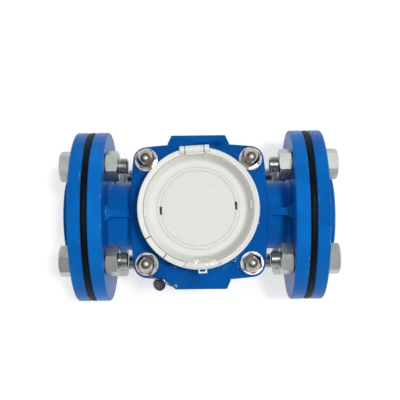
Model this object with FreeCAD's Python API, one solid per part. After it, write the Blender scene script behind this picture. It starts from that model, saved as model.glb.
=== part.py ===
import FreeCAD, Part
import math
import os
from FreeCAD import Placement, Rotation, Vector

# Horizontal Woltmann water meter, DN 50, bolted between two screwed companion flanges.
# Millimetres. The pipe axis is X and water flows towards +X; the register faces +Z.
# Shapes are made about the meter's middle. The finished part is moved along X so that its
# origin is the mouth of the inlet hub, on the pipe axis.

# Pipe connection
FACE_LENGTH = 200.0
FLANGE_D = 165.0
BODY_FLANGE_T = 13.0
BORE_D = 50.0
GASKET_INSET = 0.0
GASKET_BORE_D = 60.0
GASKET_T = 6.0
GASKET_ROUND = 2.0
COMPANION_T = 12.0
HUB_D = 80.0
HUB_LENGTH = 10.0
PIPE_THREAD_D = 56.66
CAST_ROUND = 4.0
RIM_BREAK = 1.0

# Flange bolts
BOLT_CIRCLE_D = 125.0
BOLTS_PER_FLANGE = 4
BOLT_HOLE_D = 19.0
BOLT_D = 15.9
BOLT_CORE_D = 13.4
BOLT_FLATS = 25.6
BOLT_HEAD_T = 11.5
BOLT_NUT_T = 12.5
BOLT_TAIL = 8.5
BOLT_PLAIN_SHORT = 3.0
BOLT_TURN_STEP = 23.0
HEX_FACE_SHARE = 0.96
HEX_CHAMFER_ANGLE = 30.0
THREAD_CLEARANCE = 0.05

# Body casting
NECK_D = 66.0
POCKET_D = 82.0
POCKET_ROOM = 2.0
DRUM_WALL = 6.0
DRUM_FLOOR_T = 7.0
DRUM_ROUND = 9.0
LEDGE_W = 4.0
LEDGE_DEPTH = 6.0
SEAT_Z = 44.0
TOP_FLANGE_T = 12.0
FAIRING_RISE = 3.0
FAIRING_INSET = 19.0
FAIRING_REACH = 15.0
RIB_W = 7.0
RIB_FLARE = 4.0
RIB_FLARE_L = 5.0
RIB_RISE = 8.0
RIB_DROP = 4.0

# Cover plate
PLATE_T = 10.0
STUD_HALF = 48.0
BOSS_R = 12.7
PLATE_BOW = 2.8
PAD_STEP = 1.0
PAD_H = 3.0
PAD_REACH = 18.0
PLATE_ROUND = 1.5
WING_OUT = 7.8
WING_TIP_HALF = 25.0
WING_FLARE = 3.6
SEAL_CORNER_REACH = 7.0
SEAL_CORNER_TIP = 3.0
SEAL_HOLE_D = 2.6
SEAL_HOLE_INSET = 3.0
SEAL_HOLE_EDGE = 3.3
SEAT_RING_MARGIN = 2.0
SEAT_RING_W = 4.0
SEAT_RING_T = 2.4

# Cover fasteners, M10
STUD_D = 10.0
STUD_HOLE_D = 11.0
STUD_DEPTH = 12.0
STUD_TAIL = 9.0
WASHER_D = 21.0
WASHER_BORE_D = 10.5
WASHER_T = 2.0
DOME_FLATS = 17.0
DOME_HEX_H = 8.0
DOME_STEP = 0.5
DOME_H = 18.0
DOME_TURN_STEP = 19.0
LOCK_HOLE_D = 1.9

# Measuring insert
INSERT_CLEARANCE = 0.2
TUBE_WALL = 3.0
TOWER_WALL = 5.2
CHAMBER_D = 38.0
CHAMBER_FLOOR_T = 1.0
PINION_ROOM = 0.6
BRIDGE_T = 2.0
BRIDGE_DROP = 8.0
CARRIER_RING_T = 1.5
VANE_T = 2.0

# Rotor and its bearings
ROTOR_START_X = -20.5
ROTOR_END_X = 6.2
ROTOR_HUB_D = 22.0
ROTOR_TIP_GAP = 0.9
ROTOR_VANES = 6
ROTOR_VANE_T = 1.6
ROTOR_VANE_SECTIONS = 7
ROTOR_TWIST = 70.0
SHAFT_D = 3.0
BEARING_D = 6.0
BEARING_LENGTH = 5.0
RUNNING_CLEARANCE = 0.05
STRAIGHTENER_GAP = 1.5
STRAIGHTENER_SETBACK = 4.8
STRAIGHTENER_VANES = 6
NOSE_ROUND = 8.0
REAR_HUB_WALL = 1.4
REAR_HUB_GAP = 1.0
REAR_HUB_BACK_T = 3.9
REAR_TAIL_SETBACK = 4.8
REAR_TAIL_D = 10.0
REAR_RING_SETBACK = 2.8
REAR_VANES = 4
SPINDLE_COLUMN_D = 6.4

# Worm drive and transfer gears
WORM_SETBACK = 6.8
WORM_PITCH_R = 3.0
WORM_CORE_R = 2.2
WORM_TIP_R = 3.6
WORM_TURNS = 5.0
WORM_ROOT_SHARE = 0.40
WORM_TIP_SHARE = 0.18
WORM_ROOT_SINK = 0.2
WHEEL_TEETH = 16
WHEEL_PITCH_R = 5.0
WHEEL_T = 3.0
SPINDLE_D = 2.5
SPINDLE_FOOT_Z = -7.0
TRANSFER_TEETH = (14, 28)
TRANSFER_GAP = 1.5
TRANSFER_T = 2.5
GEAR_ADDENDUM = 0.8
GEAR_DEDENDUM = 1.25
TOOTH_ROOT_SHARE = 0.30
TOOTH_TIP_SHARE = 0.10

# Magnetic coupling
MAGNET_D = 24.0
MAGNET_T = 5.6
MAGNET_LIFT = 0.6
MAGNET_ROOM = 2.0
CUP_WALL = 2.5
CUP_TOP_T = 1.5
CUP_FLANGE_T = 3.0
CUP_HEADROOM = 1.0
INSERT_SCREWS = 3
INSERT_SCREW_MARGIN = 1.2
INSERT_SCREW_D = 4.0
INSERT_SCREW_HEAD_D = 7.0
INSERT_SCREW_HEAD_T = 2.0
INSERT_SCREW_LENGTH = 6.0
CUP_FLANGE_EDGE = 0.8

# Register
REGISTER_TURN = 3.3
SEAT_GAP = 0.3
CAN_D = 85.0
CAN_WALL = 1.2
CAN_H = 28.5
SOCKET_WALL = 3.6
SOCKET_H = 8.0
GLASS_T = 3.0
GLASS_SEAL_T = 1.0
GLASS_SEAL_W = 3.0
RING_WALL = 2.5
RING_FOOT_W = 4.3
RING_FOOT_H = 3.0
RING_RIM_W = 5.2
RING_RIM_H = 10.5
RING_RIM_FALL = 0.9
RING_LIP_W = 2.0
RING_LIP_T = 3.4
RING_ROUND = 0.8
RIM_SLIT_ANGLES = (206.7, 231.3)
RIM_SLIT_W = 0.9
RIM_SLIT_DEPTH = 2.0
EYELET_W = 7.5
EYELET_REACH = 3.4
EYELET_H = 4.0
EYELET_DROP = 4.0
EYELET_WALL = 1.4

# Lid and hinge
LID_DRAFT = 0.9
LID_LAND_W = 0.6
LID_COVE_W = 7.1
LID_COVE_DEPTH = 4.0
LID_WALL = 2.2
LID_PAD_INSET = 0.4
LID_PAD_W = 2.6
LID_PAD_L = 7.8
LID_PAD_DROP = 0.5
BEAD_INSET = 4.6
BEAD_W = 2.2
BEAD_H = 0.5
LID_SLOT_W = 2.2
LID_SLOT_L = 6.9
LID_SLOT_R = 33.0
HINGE_INSET = 2.0
HINGE_RISE = 0.8
KNUCKLE_D = 6.6
KNUCKLE_W = 16.0
EAR_W = 4.2
EAR_GAP = 0.7
EAR_FOOT_H = 6.0
HINGE_PIN_D = 2.4
SCOOP_HALF = 13.7
SCOOP_BITE = 4.7
SCOOP_SIDE_BITE = 0.4
SCOOP_RIM_W = 1.2
SCOOP_SINK = 0.6
SCOOP_WALL = 1.6
SCOOP_HOLLOW_R = 14.0
SCOOP_HOLLOW_DEPTH = 0.7

# Register movement
DRIVEN_MAGNET_T = 4.6
DRIVEN_MAGNET_LIFT = 0.9
FRAME_LIFT = 2.0
FRAME_T = 1.5
FRAME_GAP = 0.8
PILLARS = 3
PILLAR_INSET = 5.5
PILLAR_D = 5.0
DIAL_DROP = 5.3
DIAL_T = 1.0
ARBOR_D = 1.6
LAYER_START = 1.0
LAYER_PITCH = 3.65
LAYER_T = 2.5
PINION_TEETH = 12
WHEEL_ONE_TEETH = 48
IDLER_TEETH = 48
WHEEL_TWO_TEETH = 30
FIRST_MODULE = 0.5
SECOND_MODULE = 0.6
THIRD_MODULE = 0.8
WHEEL_ONE_ANGLE = -30.0
POINTER_LENGTH = 6.2
POINTER_W = 1.6
POINTER_T = 0.6
POINTER_LIFT = 1.0
STAR_POINTS = 6
STAR_R = 4.4
DRUMS = 6
DRUM_PITCH = 5.7
DRUM_GAP = 0.3
NUMBER_DRUM_D = 12.4
DRUM_Y = 14.0
DRUM_TOP_GAP = 0.3
AXLE_D = 2.4
WINDOW_MARGIN = 0.8
WINDOW_H = 8.4

# Seal
WIRE_D = 1.4
WIRE_BEND_SHARE = 0.45
WIRE_ROUTE = (
    (-47.4, -51.0, 71.2),
    (-46.2, -57.2, 69.4),
    (-43.6, -60.2, 63.4),
    (-39.6, -61.4, 59.2),
    (-35.4, -62.8, 57.4),
    (-31.4, -65.0, 57.6),
    (-27.4, -67.6, 58.0),
    (-23.8, -68.6, 57.2),
    (-22.1, -68.1, 53.6),
    (-22.0, -68.0, 48.0),
    (-22.0, -68.0, 41.0),
)
LEAD_D = 11.5
LEAD_T = 4.6
LEAD_ROUND = 1.0
LEAD_MIDDLE = (-36.9, -66.6, 55.5)
LEAD_FACING = (-0.50, -0.43, 0.75)
LEAD_CLEARANCE = 0.05

# Sizes that follow from the ones above
X = Vector(1, 0, 0)
Y = Vector(0, 1, 0)
Z = Vector(0, 0, 1)
TINY = 1e-4
PAST = 1.0

# Along the pipe
FACE_X = FACE_LENGTH / 2
GASKET_D = FLANGE_D - 2 * GASKET_INSET
COMPANION_X = FACE_X + GASKET_T
COMPANION_FACE_X = COMPANION_X + COMPANION_T
HUB_END_X = COMPANION_FACE_X + HUB_LENGTH
FLANGE_BACK_X = FACE_X - BODY_FLANGE_T
GRIP = COMPANION_T + GASKET_T + BODY_FLANGE_T
BOLT_LENGTH = GRIP + BOLT_NUT_T + BOLT_TAIL

# Body and cover
TUBE_R = BORE_D / 2
INSERT_R = TUBE_R + TUBE_WALL
INSERT_REACH = POCKET_D / 2 - INSERT_CLEARANCE
POCKET_FLOOR_Z = -(INSERT_R + POCKET_ROOM)
DRUM_R = POCKET_D / 2 + DRUM_WALL
LEDGE_R = POCKET_D / 2 + LEDGE_W
LEDGE_Z = SEAT_Z - LEDGE_DEPTH
PLATE_HALF = STUD_HALF + BOSS_R + PLATE_BOW
PLATE_TOP_Z = SEAT_Z + PLATE_T
PAD_TOP_Z = PLATE_TOP_Z + PAD_H
WASHER_TOP_Z = PAD_TOP_Z + WASHER_T
WING_REACH = PLATE_HALF + WING_OUT
WING_ROOT_HALF = WING_TIP_HALF + WING_FLARE
SEAL_HOLE_X = SEAL_HOLE_INSET - WING_TIP_HALF
SEAL_HOLE_Y = SEAL_HOLE_EDGE - WING_REACH
SEAT_RING_R = LEDGE_R + SEAT_RING_MARGIN

# Rotor, worm drive and transfer gears
CARRIER_R = TUBE_R - INSERT_CLEARANCE
STRAIGHTENER_END_X = ROTOR_START_X - STRAIGHTENER_GAP
STRAIGHTENER_START_X = STRAIGHTENER_SETBACK - INSERT_REACH
WORM_X = ROTOR_END_X + WORM_SETBACK
WORM_PITCH = 2 * math.pi * WHEEL_PITCH_R / WHEEL_TEETH
WHEEL_MODULE = 2 * WHEEL_PITCH_R / WHEEL_TEETH
WHEEL_TIP_R = WHEEL_PITCH_R + WHEEL_MODULE
SPINDLE_Y = -(WORM_PITCH_R + WHEEL_PITCH_R)
SPINDLE_REACH = math.hypot(WORM_X, SPINDLE_Y)
SPINDLE_ANGLE = math.degrees(math.atan2(SPINDLE_Y, WORM_X))
REAR_HUB_X = ROTOR_END_X + REAR_HUB_GAP
REAR_POCKET_END_X = WORM_X + WHEEL_TIP_R + REAR_HUB_GAP / 2
REAR_POCKET_HALF = WORM_TIP_R + REAR_HUB_GAP
REAR_POCKET_Y = SPINDLE_Y - WHEEL_TIP_R - REAR_HUB_GAP / 2
REAR_HUB_R = -REAR_POCKET_Y + REAR_HUB_WALL
REAR_HUB_END_X = REAR_POCKET_END_X + BEARING_LENGTH + REAR_HUB_BACK_T
REAR_TAIL_END_X = INSERT_REACH - REAR_TAIL_SETBACK
TRANSFER_MODULE = 2 * SPINDLE_REACH / sum(TRANSFER_TEETH)
PINION_TIP_R = TRANSFER_MODULE * (TRANSFER_TEETH[0] / 2 + GEAR_ADDENDUM)
BRIDGE_R = SPINDLE_REACH + PINION_TIP_R + PINION_ROOM
BRIDGE_Z = SEAT_Z - BRIDGE_DROP
CHAMBER_FLOOR_Z = INSERT_R + CHAMBER_FLOOR_T
TRANSFER_Z = BRIDGE_Z + BRIDGE_T + TRANSFER_GAP
TRANSFER_TOP_Z = TRANSFER_Z + TRANSFER_T

# Magnetic coupling
MAGNET_Z = TRANSFER_TOP_Z + MAGNET_LIFT
MAGNET_TOP_Z = MAGNET_Z + MAGNET_T
CUP_R = MAGNET_D / 2 + MAGNET_ROOM + CUP_WALL
CUP_TOP_Z = MAGNET_TOP_Z + CUP_HEADROOM + CUP_TOP_T
CUP_FLANGE_TOP_Z = SEAT_Z + CUP_FLANGE_T
INSERT_SCREW_R = BRIDGE_R + INSERT_SCREW_MARGIN + INSERT_SCREW_D / 2
INSERT_SCREW_NECK_Z = CUP_FLANGE_TOP_Z - INSERT_SCREW_HEAD_T
INSERT_SCREW_FOOT_Z = INSERT_SCREW_NECK_Z - INSERT_SCREW_LENGTH
CUP_FLANGE_R = INSERT_SCREW_R + INSERT_SCREW_HEAD_D / 2 + CUP_FLANGE_EDGE

# Register
CAN_R = CAN_D / 2
CAN_SEAT_Z = CUP_TOP_Z + SEAT_GAP
CAN_FLOOR_Z = CAN_SEAT_Z + SEAT_GAP
CAN_INSIDE_Z = CAN_FLOOR_Z + CAN_WALL
CAN_TOP_Z = CAN_FLOOR_Z + CAN_H
GLASS_Z = CAN_TOP_Z + GLASS_SEAL_T
GLASS_TOP_Z = GLASS_Z + GLASS_T
SOCKET_R = CAN_R + SEAT_GAP + SOCKET_WALL
RING_FOOT_R = SOCKET_R + SEAT_GAP
RING_R = RING_FOOT_R + RING_FOOT_W + RING_WALL
RING_RIM_R = RING_R - RING_RIM_W
RING_MOUTH_R = CAN_R - RING_LIP_W
RING_FOOT_Z = PAD_TOP_Z + SEAT_GAP
RING_LIP_Z = GLASS_TOP_Z + SEAT_GAP
RING_LEDGE_Z = RING_LIP_Z + RING_LIP_T
RING_TOP_Z = RING_LEDGE_Z + RING_RIM_H

# Lid
LID_R = RING_RIM_R - SEAT_GAP
LID_FLAT_R = LID_R - LID_LAND_W - LID_COVE_W
LID_FOOT_Z = RING_LEDGE_Z + SEAT_GAP
LID_FOOT_R = LID_R - LID_DRAFT
LID_RIM_Z = RING_TOP_Z - RING_RIM_FALL
LID_FACE_Z = LID_RIM_Z - LID_COVE_DEPTH
LID_UNDER_Z = LID_FACE_Z - LID_WALL
LID_COVE_R = (LID_COVE_W ** 2 + LID_COVE_DEPTH ** 2) / (2 * LID_COVE_DEPTH)
LID_COVE_Z = LID_FACE_Z + LID_COVE_R
BEAD_R = LID_FLAT_R - BEAD_INSET
HINGE_R = RING_R - HINGE_INSET
HINGE_Z = RING_TOP_Z + HINGE_RISE
KNUCKLE_R = KNUCKLE_D / 2
KNUCKLE_HALF = KNUCKLE_W / 2
EAR_START = KNUCKLE_HALF + EAR_GAP
SCOOP_INNER_R = LID_R - SCOOP_BITE
SCOOP_SIDE_R = LID_R - SCOOP_SIDE_BITE
SCOOP_OUTER_R = RING_R - SCOOP_RIM_W
SCOOP_FLOOR_Z = RING_TOP_Z - SCOOP_SINK
SCOOP_UNDER_Z = SCOOP_FLOOR_Z - SCOOP_WALL

# Register movement
DRIVEN_MAGNET_Z = CAN_INSIDE_Z + DRIVEN_MAGNET_LIFT
DRIVEN_MAGNET_TOP_Z = DRIVEN_MAGNET_Z + DRIVEN_MAGNET_T
FRAME_R = CAN_R - CAN_WALL - FRAME_GAP
FRAME_Z = DRIVEN_MAGNET_TOP_Z + FRAME_LIFT
FRAME_TOP_Z = FRAME_Z + FRAME_T
PILLAR_R = FRAME_R - PILLAR_INSET
DIAL_Z = GLASS_Z - DIAL_DROP
DIAL_TOP_Z = DIAL_Z + DIAL_T
POINTER_Z = DIAL_TOP_Z + POINTER_LIFT
POINTER_TOP_Z = POINTER_Z + POINTER_T
NUMBER_AXIS_Z = DIAL_Z - DRUM_TOP_GAP - NUMBER_DRUM_D / 2
DRUMS_HALF = DRUMS * DRUM_PITCH / 2


def disc(radius, bottom, top, x=0.0, y=0.0):
    return Part.makeCylinder(radius, top - bottom, Vector(x, y, bottom), Z)


def bar(radius, start, end, y=0.0, z=0.0):
    return Part.makeCylinder(radius, end - start, Vector(start, y, z), X)


def block(low, high):
    size = Vector(*high) - Vector(*low)
    return Part.makeBox(size.x, size.y, size.z, Vector(*low))


def joined(first, *others):
    return first.multiFuse(list(others)).removeSplitter()


def polar(radius, degrees, z=0.0):
    angle = math.radians(degrees)
    return Vector(radius * math.cos(angle), radius * math.sin(angle), z)


def prism(points, bottom, top):
    ring = [Vector(x, y, bottom) for x, y in points]
    return Part.Face(Part.makePolygon(ring + ring[:1])).extrude(Z * (top - bottom))


def turned(profile):
    """A round piece about Z from its half section, given as radius and height."""
    ring = [Vector(radius, 0, height) for radius, height in profile]
    return Part.Face(Part.makePolygon(ring + ring[:1])).revolve(Vector(), Z, 360)


def moved(shape, x=0.0, y=0.0, z=0.0):
    copy = shape.copy()
    copy.translate(Vector(x, y, z))
    return copy


def spun(shape, degrees, axis=Z, centre=Vector()):
    copy = shape.copy()
    copy.rotate(centre, axis, degrees)
    return copy


def laid(shape, x=0.0, y=0.0, z=0.0):
    """Turns a piece that was made along Z so that it lies along X."""
    return moved(spun(shape, 90, Y), x, y, z)


def is_circle(edge, radius, centre):
    curve = edge.Curve
    if not isinstance(curve, Part.Circle):
        return False
    return abs(curve.Radius - radius) < TINY and (curve.Center - centre).Length < TINY


def rounded(shape, size, *circles):
    """Rounds the circular edges that are named by radius and centre."""
    edges = [e for e in shape.Edges if any(is_circle(e, r, c) for r, c in circles)]
    return shape.makeFillet(size, edges)


def broken(shape, size, *circles):
    """Breaks the circular edges that are named by radius and centre with a small chamfer."""
    edges = [e for e in shape.Edges if any(is_circle(e, r, c) for r, c in circles)]
    return shape.makeChamfer(size, edges)


def hexagon(flats, bottom, top, chamfer_bottom, chamfer_top):
    """A six-sided bar with its corners turned off at either end."""
    corner = flats / math.sqrt(3)
    tip = HEX_FACE_SHARE * flats / 2
    rise = (corner - tip) * math.tan(math.radians(HEX_CHAMFER_ANGLE))
    sides = [(polar(corner, 60 * k).x, polar(corner, 60 * k).y) for k in range(6)]
    profile = [(0, bottom), (corner, bottom), (corner, top), (0, top)]
    if chamfer_bottom:
        profile[1:2] = [(tip, bottom), (corner, bottom + rise)]
    if chamfer_top:
        profile[-2:-1] = [(corner, top - rise), (tip, top)]
    return prism(sides, bottom, top).common(turned(profile))


def gear(teeth, module, bottom, top, bore, turn=0.0):
    """A spur gear whose first tooth points along the given angle."""
    pitch = module * teeth / 2
    tip = pitch + GEAR_ADDENDUM * module
    root = pitch - GEAR_DEDENDUM * module
    step = 360.0 / teeth
    flank = (
        (root, -TOOTH_ROOT_SHARE),
        (tip, -TOOTH_TIP_SHARE),
        (tip, TOOTH_TIP_SHARE),
        (root, TOOTH_ROOT_SHARE),
    )
    points = []
    for tooth in range(teeth):
        for radius, share in flank:
            corner = polar(radius, turn + (tooth + share) * step)
            points.append((corner.x, corner.y))
    return prism(points, bottom, top).cut(disc(bore, bottom - PAST, top + PAST))


def gap_towards(angle, teeth):
    """The turn that puts a gap between two teeth at the given angle."""
    return angle + 180.0 / teeth


def bolt_holes(start, end):
    hole = bar(BOLT_HOLE_D / 2, start, end, 0, BOLT_CIRCLE_D / 2)
    return [spun(hole, bolt_angle(k), X) for k in range(BOLTS_PER_FLANGE)]


def bolt_angle(k):
    return (k + 0.5) * 360.0 / BOLTS_PER_FLANGE


# Casting, flanges and bolts


def plate_outline():
    """A square whose sides bow out and run smoothly into the round corner bosses."""
    lift = PLATE_HALF - STUD_HALF
    bow = (lift ** 2 + STUD_HALF ** 2 - BOSS_R ** 2) / (2 * (lift - BOSS_R))
    centre = Vector(PLATE_HALF - bow, 0, 0)
    boss = Vector(STUD_HALF, STUD_HALF, 0)
    lean = (boss - centre).normalize()
    high = boss + lean * BOSS_R
    across = Vector(high.y, high.x, 0)
    corner_mid = boss + Vector(1, 1, 0).normalize() * BOSS_R
    side = Part.Arc(Vector(high.x, -high.y, 0), Vector(PLATE_HALF, 0, 0), high).toShape()
    corner = Part.Arc(high, corner_mid, across).toShape()
    edges = []
    for quarter in range(4):
        edges.append(spun(side, 90 * quarter))
        edges.append(spun(corner, 90 * quarter))
    return Part.Face(Part.Wire(edges))


def plate_slab(bottom, top):
    return moved(plate_outline(), 0, 0, bottom).extrude(Z * (top - bottom))


def at_studs(shape):
    corners = ((-1, 1), (1, 1), (1, -1), (-1, -1))
    return [moved(shape, sx * STUD_HALF, sy * STUD_HALF) for sx, sy in corners]


def pipe_and_flanges():
    neck_r = NECK_D / 2
    neck = bar(neck_r, -FACE_X, FACE_X)
    outlet = bar(FLANGE_D / 2, FLANGE_BACK_X, FACE_X)
    pipe = joined(neck, outlet, outlet.mirror(Vector(), X))
    roots = [(neck_r, X * side * FLANGE_BACK_X) for side in (-1, 1)]
    pipe = rounded(pipe, CAST_ROUND, *roots)
    rims = [(FLANGE_D / 2, X * side * x) for side in (-1, 1) for x in (FLANGE_BACK_X, FACE_X)]
    return broken(pipe, RIM_BREAK, *rims)


def neck_rib():
    """The web on top of the neck, from the outlet flange down to the top flange."""
    low = NECK_D / 2 - RIB_W
    points = (
        (FLANGE_BACK_X + PAST, low),
        (FLANGE_BACK_X + PAST, SEAT_Z + RIB_RISE),
        (PLATE_HALF, SEAT_Z - RIB_DROP),
        (DRUM_R, SEAT_Z - RIB_DROP),
        (DRUM_R, low),
    )
    root = RIB_W / 2 + RIB_FLARE
    ring = [Vector(x, -root, z) for x, z in points]
    web = Part.Face(Part.makePolygon(ring + ring[:1])).extrude(Y * 2 * root)
    flank = ((FLANGE_BACK_X + PAST, root), (FLANGE_BACK_X, root), (FLANGE_BACK_X - RIB_FLARE_L, RIB_W / 2),
             (DRUM_R, RIB_W / 2))
    outline = flank + tuple((x, -y) for x, y in reversed(flank))
    return web.common(prism(outline, low - PAST, SEAT_Z + RIB_RISE + PAST))


def fairing():
    """The taper by which the drum runs out into the neck on the outlet side."""
    neck_r = NECK_D / 2
    start = DRUM_R - FAIRING_INSET
    return Part.makeCone(neck_r + FAIRING_RISE, neck_r, FAIRING_INSET + FAIRING_REACH, X * start, X)


def meter_body():
    bottom = POCKET_FLOOR_Z - DRUM_FLOOR_T
    drum = disc(DRUM_R, bottom, SEAT_Z - TOP_FLANGE_T / 2)
    drum = rounded(drum, DRUM_ROUND, (DRUM_R, Z * bottom))
    sides = [fairing(), neck_rib()]
    sides += [side.mirror(Vector(), X) for side in sides]
    body = joined(pipe_and_flanges(), drum, plate_slab(SEAT_Z - TOP_FLANGE_T, SEAT_Z), *sides)
    cuts = [bar(TUBE_R, -FACE_X - PAST, FACE_X + PAST)]
    cuts.append(disc(POCKET_D / 2, POCKET_FLOOR_Z, SEAT_Z + PAST))
    cuts.append(disc(LEDGE_R, LEDGE_Z, SEAT_Z + PAST))
    cuts += bolt_holes(FLANGE_BACK_X - PAST, FACE_X + PAST)
    cuts += bolt_holes(-FACE_X - PAST, -FLANGE_BACK_X + PAST)
    cuts += at_studs(disc(STUD_D / 2 + THREAD_CLEARANCE, SEAT_Z - STUD_DEPTH, SEAT_Z + PAST))
    return body.cut(cuts)


def companion_flange():
    """The screwed flange at the outlet end."""
    rim_r = FLANGE_D / 2
    hub_r = HUB_D / 2
    flange = joined(bar(rim_r, COMPANION_X, COMPANION_FACE_X), bar(hub_r, COMPANION_X, HUB_END_X))
    flange = rounded(flange, CAST_ROUND / 2, (hub_r, X * COMPANION_FACE_X))
    rims = [(rim_r, X * COMPANION_X), (rim_r, X * COMPANION_FACE_X), (hub_r, X * HUB_END_X)]
    flange = broken(flange, RIM_BREAK, *rims)
    bore = bar(PIPE_THREAD_D / 2, COMPANION_X - PAST, HUB_END_X + PAST)
    return flange.cut([bore] + bolt_holes(COMPANION_X - PAST, COMPANION_FACE_X + PAST))


def gasket():
    rim_r = GASKET_D / 2
    ring = bar(rim_r, FACE_X, COMPANION_X)
    ring = rounded(ring, GASKET_ROUND, (rim_r, X * FACE_X), (rim_r, X * COMPANION_X))
    bore = bar(GASKET_BORE_D / 2, FACE_X - PAST, COMPANION_X + PAST)
    return ring.cut([bore] + bolt_holes(FACE_X - PAST, COMPANION_X + PAST))


def around_bolts(shape):
    """Four copies about the pipe axis, each tightened to an angle of its own."""
    copies = []
    for k in range(BOLTS_PER_FLANGE):
        copy = spun(shape, BOLT_TURN_STEP * k, X)
        copies.append(spun(moved(copy, 0, 0, BOLT_CIRCLE_D / 2), bolt_angle(k), X))
    return Part.Compound(copies)


def flange_bolts():
    plain = GRIP - BOLT_PLAIN_SHORT
    head = hexagon(BOLT_FLATS, 0, BOLT_HEAD_T, False, True)
    shank = disc(BOLT_D / 2, -plain, 0)
    core = disc(BOLT_CORE_D / 2, -BOLT_LENGTH, -plain)
    core = broken(core, RIM_BREAK, (BOLT_CORE_D / 2, Z * -BOLT_LENGTH))
    return around_bolts(laid(joined(head, shank, core), COMPANION_FACE_X))


def flange_nuts():
    nut = hexagon(BOLT_FLATS, 0, BOLT_NUT_T, True, True)
    nut = nut.cut(disc(BOLT_CORE_D / 2 + THREAD_CLEARANCE, -PAST, BOLT_NUT_T + PAST))
    return around_bolts(laid(nut, FLANGE_BACK_X - BOLT_NUT_T))


# Cover plate and its fasteners


def wings():
    """The two tabs of the cover; the seal hole's corner of the second one is cut off."""
    root = STUD_HALF
    seal_side = WING_TIP_HALF + SEAL_CORNER_REACH
    north = (
        (-WING_ROOT_HALF, root), (-WING_ROOT_HALF, PLATE_HALF), (-WING_TIP_HALF, WING_REACH),
        (WING_TIP_HALF, WING_REACH), (WING_ROOT_HALF, PLATE_HALF), (WING_ROOT_HALF, root),
    )
    south = (
        (-seal_side, -root), (-seal_side, -PLATE_HALF), (SEAL_CORNER_TIP - WING_TIP_HALF, -WING_REACH),
        (WING_TIP_HALF, -WING_REACH), (WING_ROOT_HALF, -PLATE_HALF), (WING_ROOT_HALF, -root),
    )
    return [prism(points, SEAT_Z, PLATE_TOP_Z) for points in (north, south)]


def boss_pads():
    pad_r = BOSS_R - PAD_STEP
    round_end = disc(pad_r, PLATE_TOP_Z - PAST, PAD_TOP_Z)
    run = block((-PAD_REACH, -pad_r, PLATE_TOP_Z - PAST), (0, pad_r, PAD_TOP_Z))
    pad = moved(joined(round_end, run), math.hypot(STUD_HALF, STUD_HALF))
    pads = [spun(pad, 45 + 90 * quarter) for quarter in range(4)]
    keep_out = disc(SOCKET_R, PLATE_TOP_Z - PAST, PAD_TOP_Z + PAST)
    return [pad.cut(keep_out) for pad in pads]


def cover_plate():
    slab = joined(plate_slab(SEAT_Z, PLATE_TOP_Z), *wings())
    top_edges = [e for e in slab.Edges if e.BoundBox.ZMin > PLATE_TOP_Z - TINY]
    slab = slab.makeFillet(PLATE_ROUND, top_edges)
    socket = disc(SOCKET_R, PLATE_TOP_Z - PAST, PLATE_TOP_Z + SOCKET_H)
    plate = joined(slab, socket, *boss_pads())
    over = PLATE_TOP_Z + SOCKET_H + PAST
    cuts = [disc(CAN_R + SEAT_GAP, CAN_SEAT_Z, over)]
    cuts.append(disc(CUP_R + SEAT_GAP, SEAT_Z - PAST, over))
    cuts.append(disc(CUP_FLANGE_R + SEAT_GAP, SEAT_Z - PAST, CUP_FLANGE_TOP_Z))
    cuts.append(seal_ring_solid())
    cuts.append(disc(SEAL_HOLE_D / 2, SEAT_Z - PAST, over, SEAL_HOLE_X, SEAL_HOLE_Y))
    cuts += at_studs(disc(STUD_HOLE_D / 2, SEAT_Z - PAST, over))
    return plate.cut(cuts)


def seal_ring_solid():
    outer = disc(SEAT_RING_R + SEAT_RING_W, SEAT_Z, SEAT_Z + SEAT_RING_T)
    return outer.cut(disc(SEAT_RING_R, SEAT_Z - PAST, SEAT_Z + SEAT_RING_T + PAST))


def cover_studs():
    return Part.Compound(at_studs(disc(STUD_D / 2, SEAT_Z - STUD_DEPTH, WASHER_TOP_Z + STUD_TAIL)))


def cover_washers():
    ring = disc(WASHER_D / 2, PAD_TOP_Z, WASHER_TOP_Z)
    ring = ring.cut(disc(WASHER_BORE_D / 2, PAD_TOP_Z - PAST, WASHER_TOP_Z + PAST))
    return Part.Compound(at_studs(ring))


def dome_nut():
    dome_r = DOME_FLATS / 2 - DOME_STEP
    dome_z = DOME_H - dome_r
    dome = joined(disc(dome_r, 0, dome_z), Part.makeSphere(dome_r, Vector(0, 0, dome_z)))
    dome = dome.common(disc(DOME_FLATS, 0, DOME_H))
    nut = joined(hexagon(DOME_FLATS, 0, DOME_HEX_H, True, True), dome)
    bore = disc(STUD_D / 2 + THREAD_CLEARANCE, -PAST, STUD_TAIL + SEAT_GAP)
    return moved(nut.cut(bore), 0, 0, WASHER_TOP_Z)


def cover_dome_nuts():
    """Four cap nuts; the one by the seal is drilled for the wire."""
    nuts = at_studs(dome_nut())
    turned_nuts = []
    for k, nut in enumerate(nuts):
        centre = Vector(nut.BoundBox.Center.x, nut.BoundBox.Center.y, 0)
        turned_nuts.append(spun(nut, DOME_TURN_STEP * k, Z, centre))
    first, second = [Vector(*point) for point in WIRE_ROUTE[:2]]
    run = (second - first).normalize()
    hole = Part.makeCylinder(LOCK_HOLE_D / 2, DOME_FLATS, first - run * SEAT_GAP, run)
    turned_nuts[-1] = turned_nuts[-1].cut(hole)
    return Part.Compound(turned_nuts)


# Measuring insert


def screw_places(shape):
    angles = [90 + k * 360.0 / INSERT_SCREWS for k in range(INSERT_SCREWS)]
    return [spun(moved(shape, INSERT_SCREW_R), angle) for angle in angles]


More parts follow.
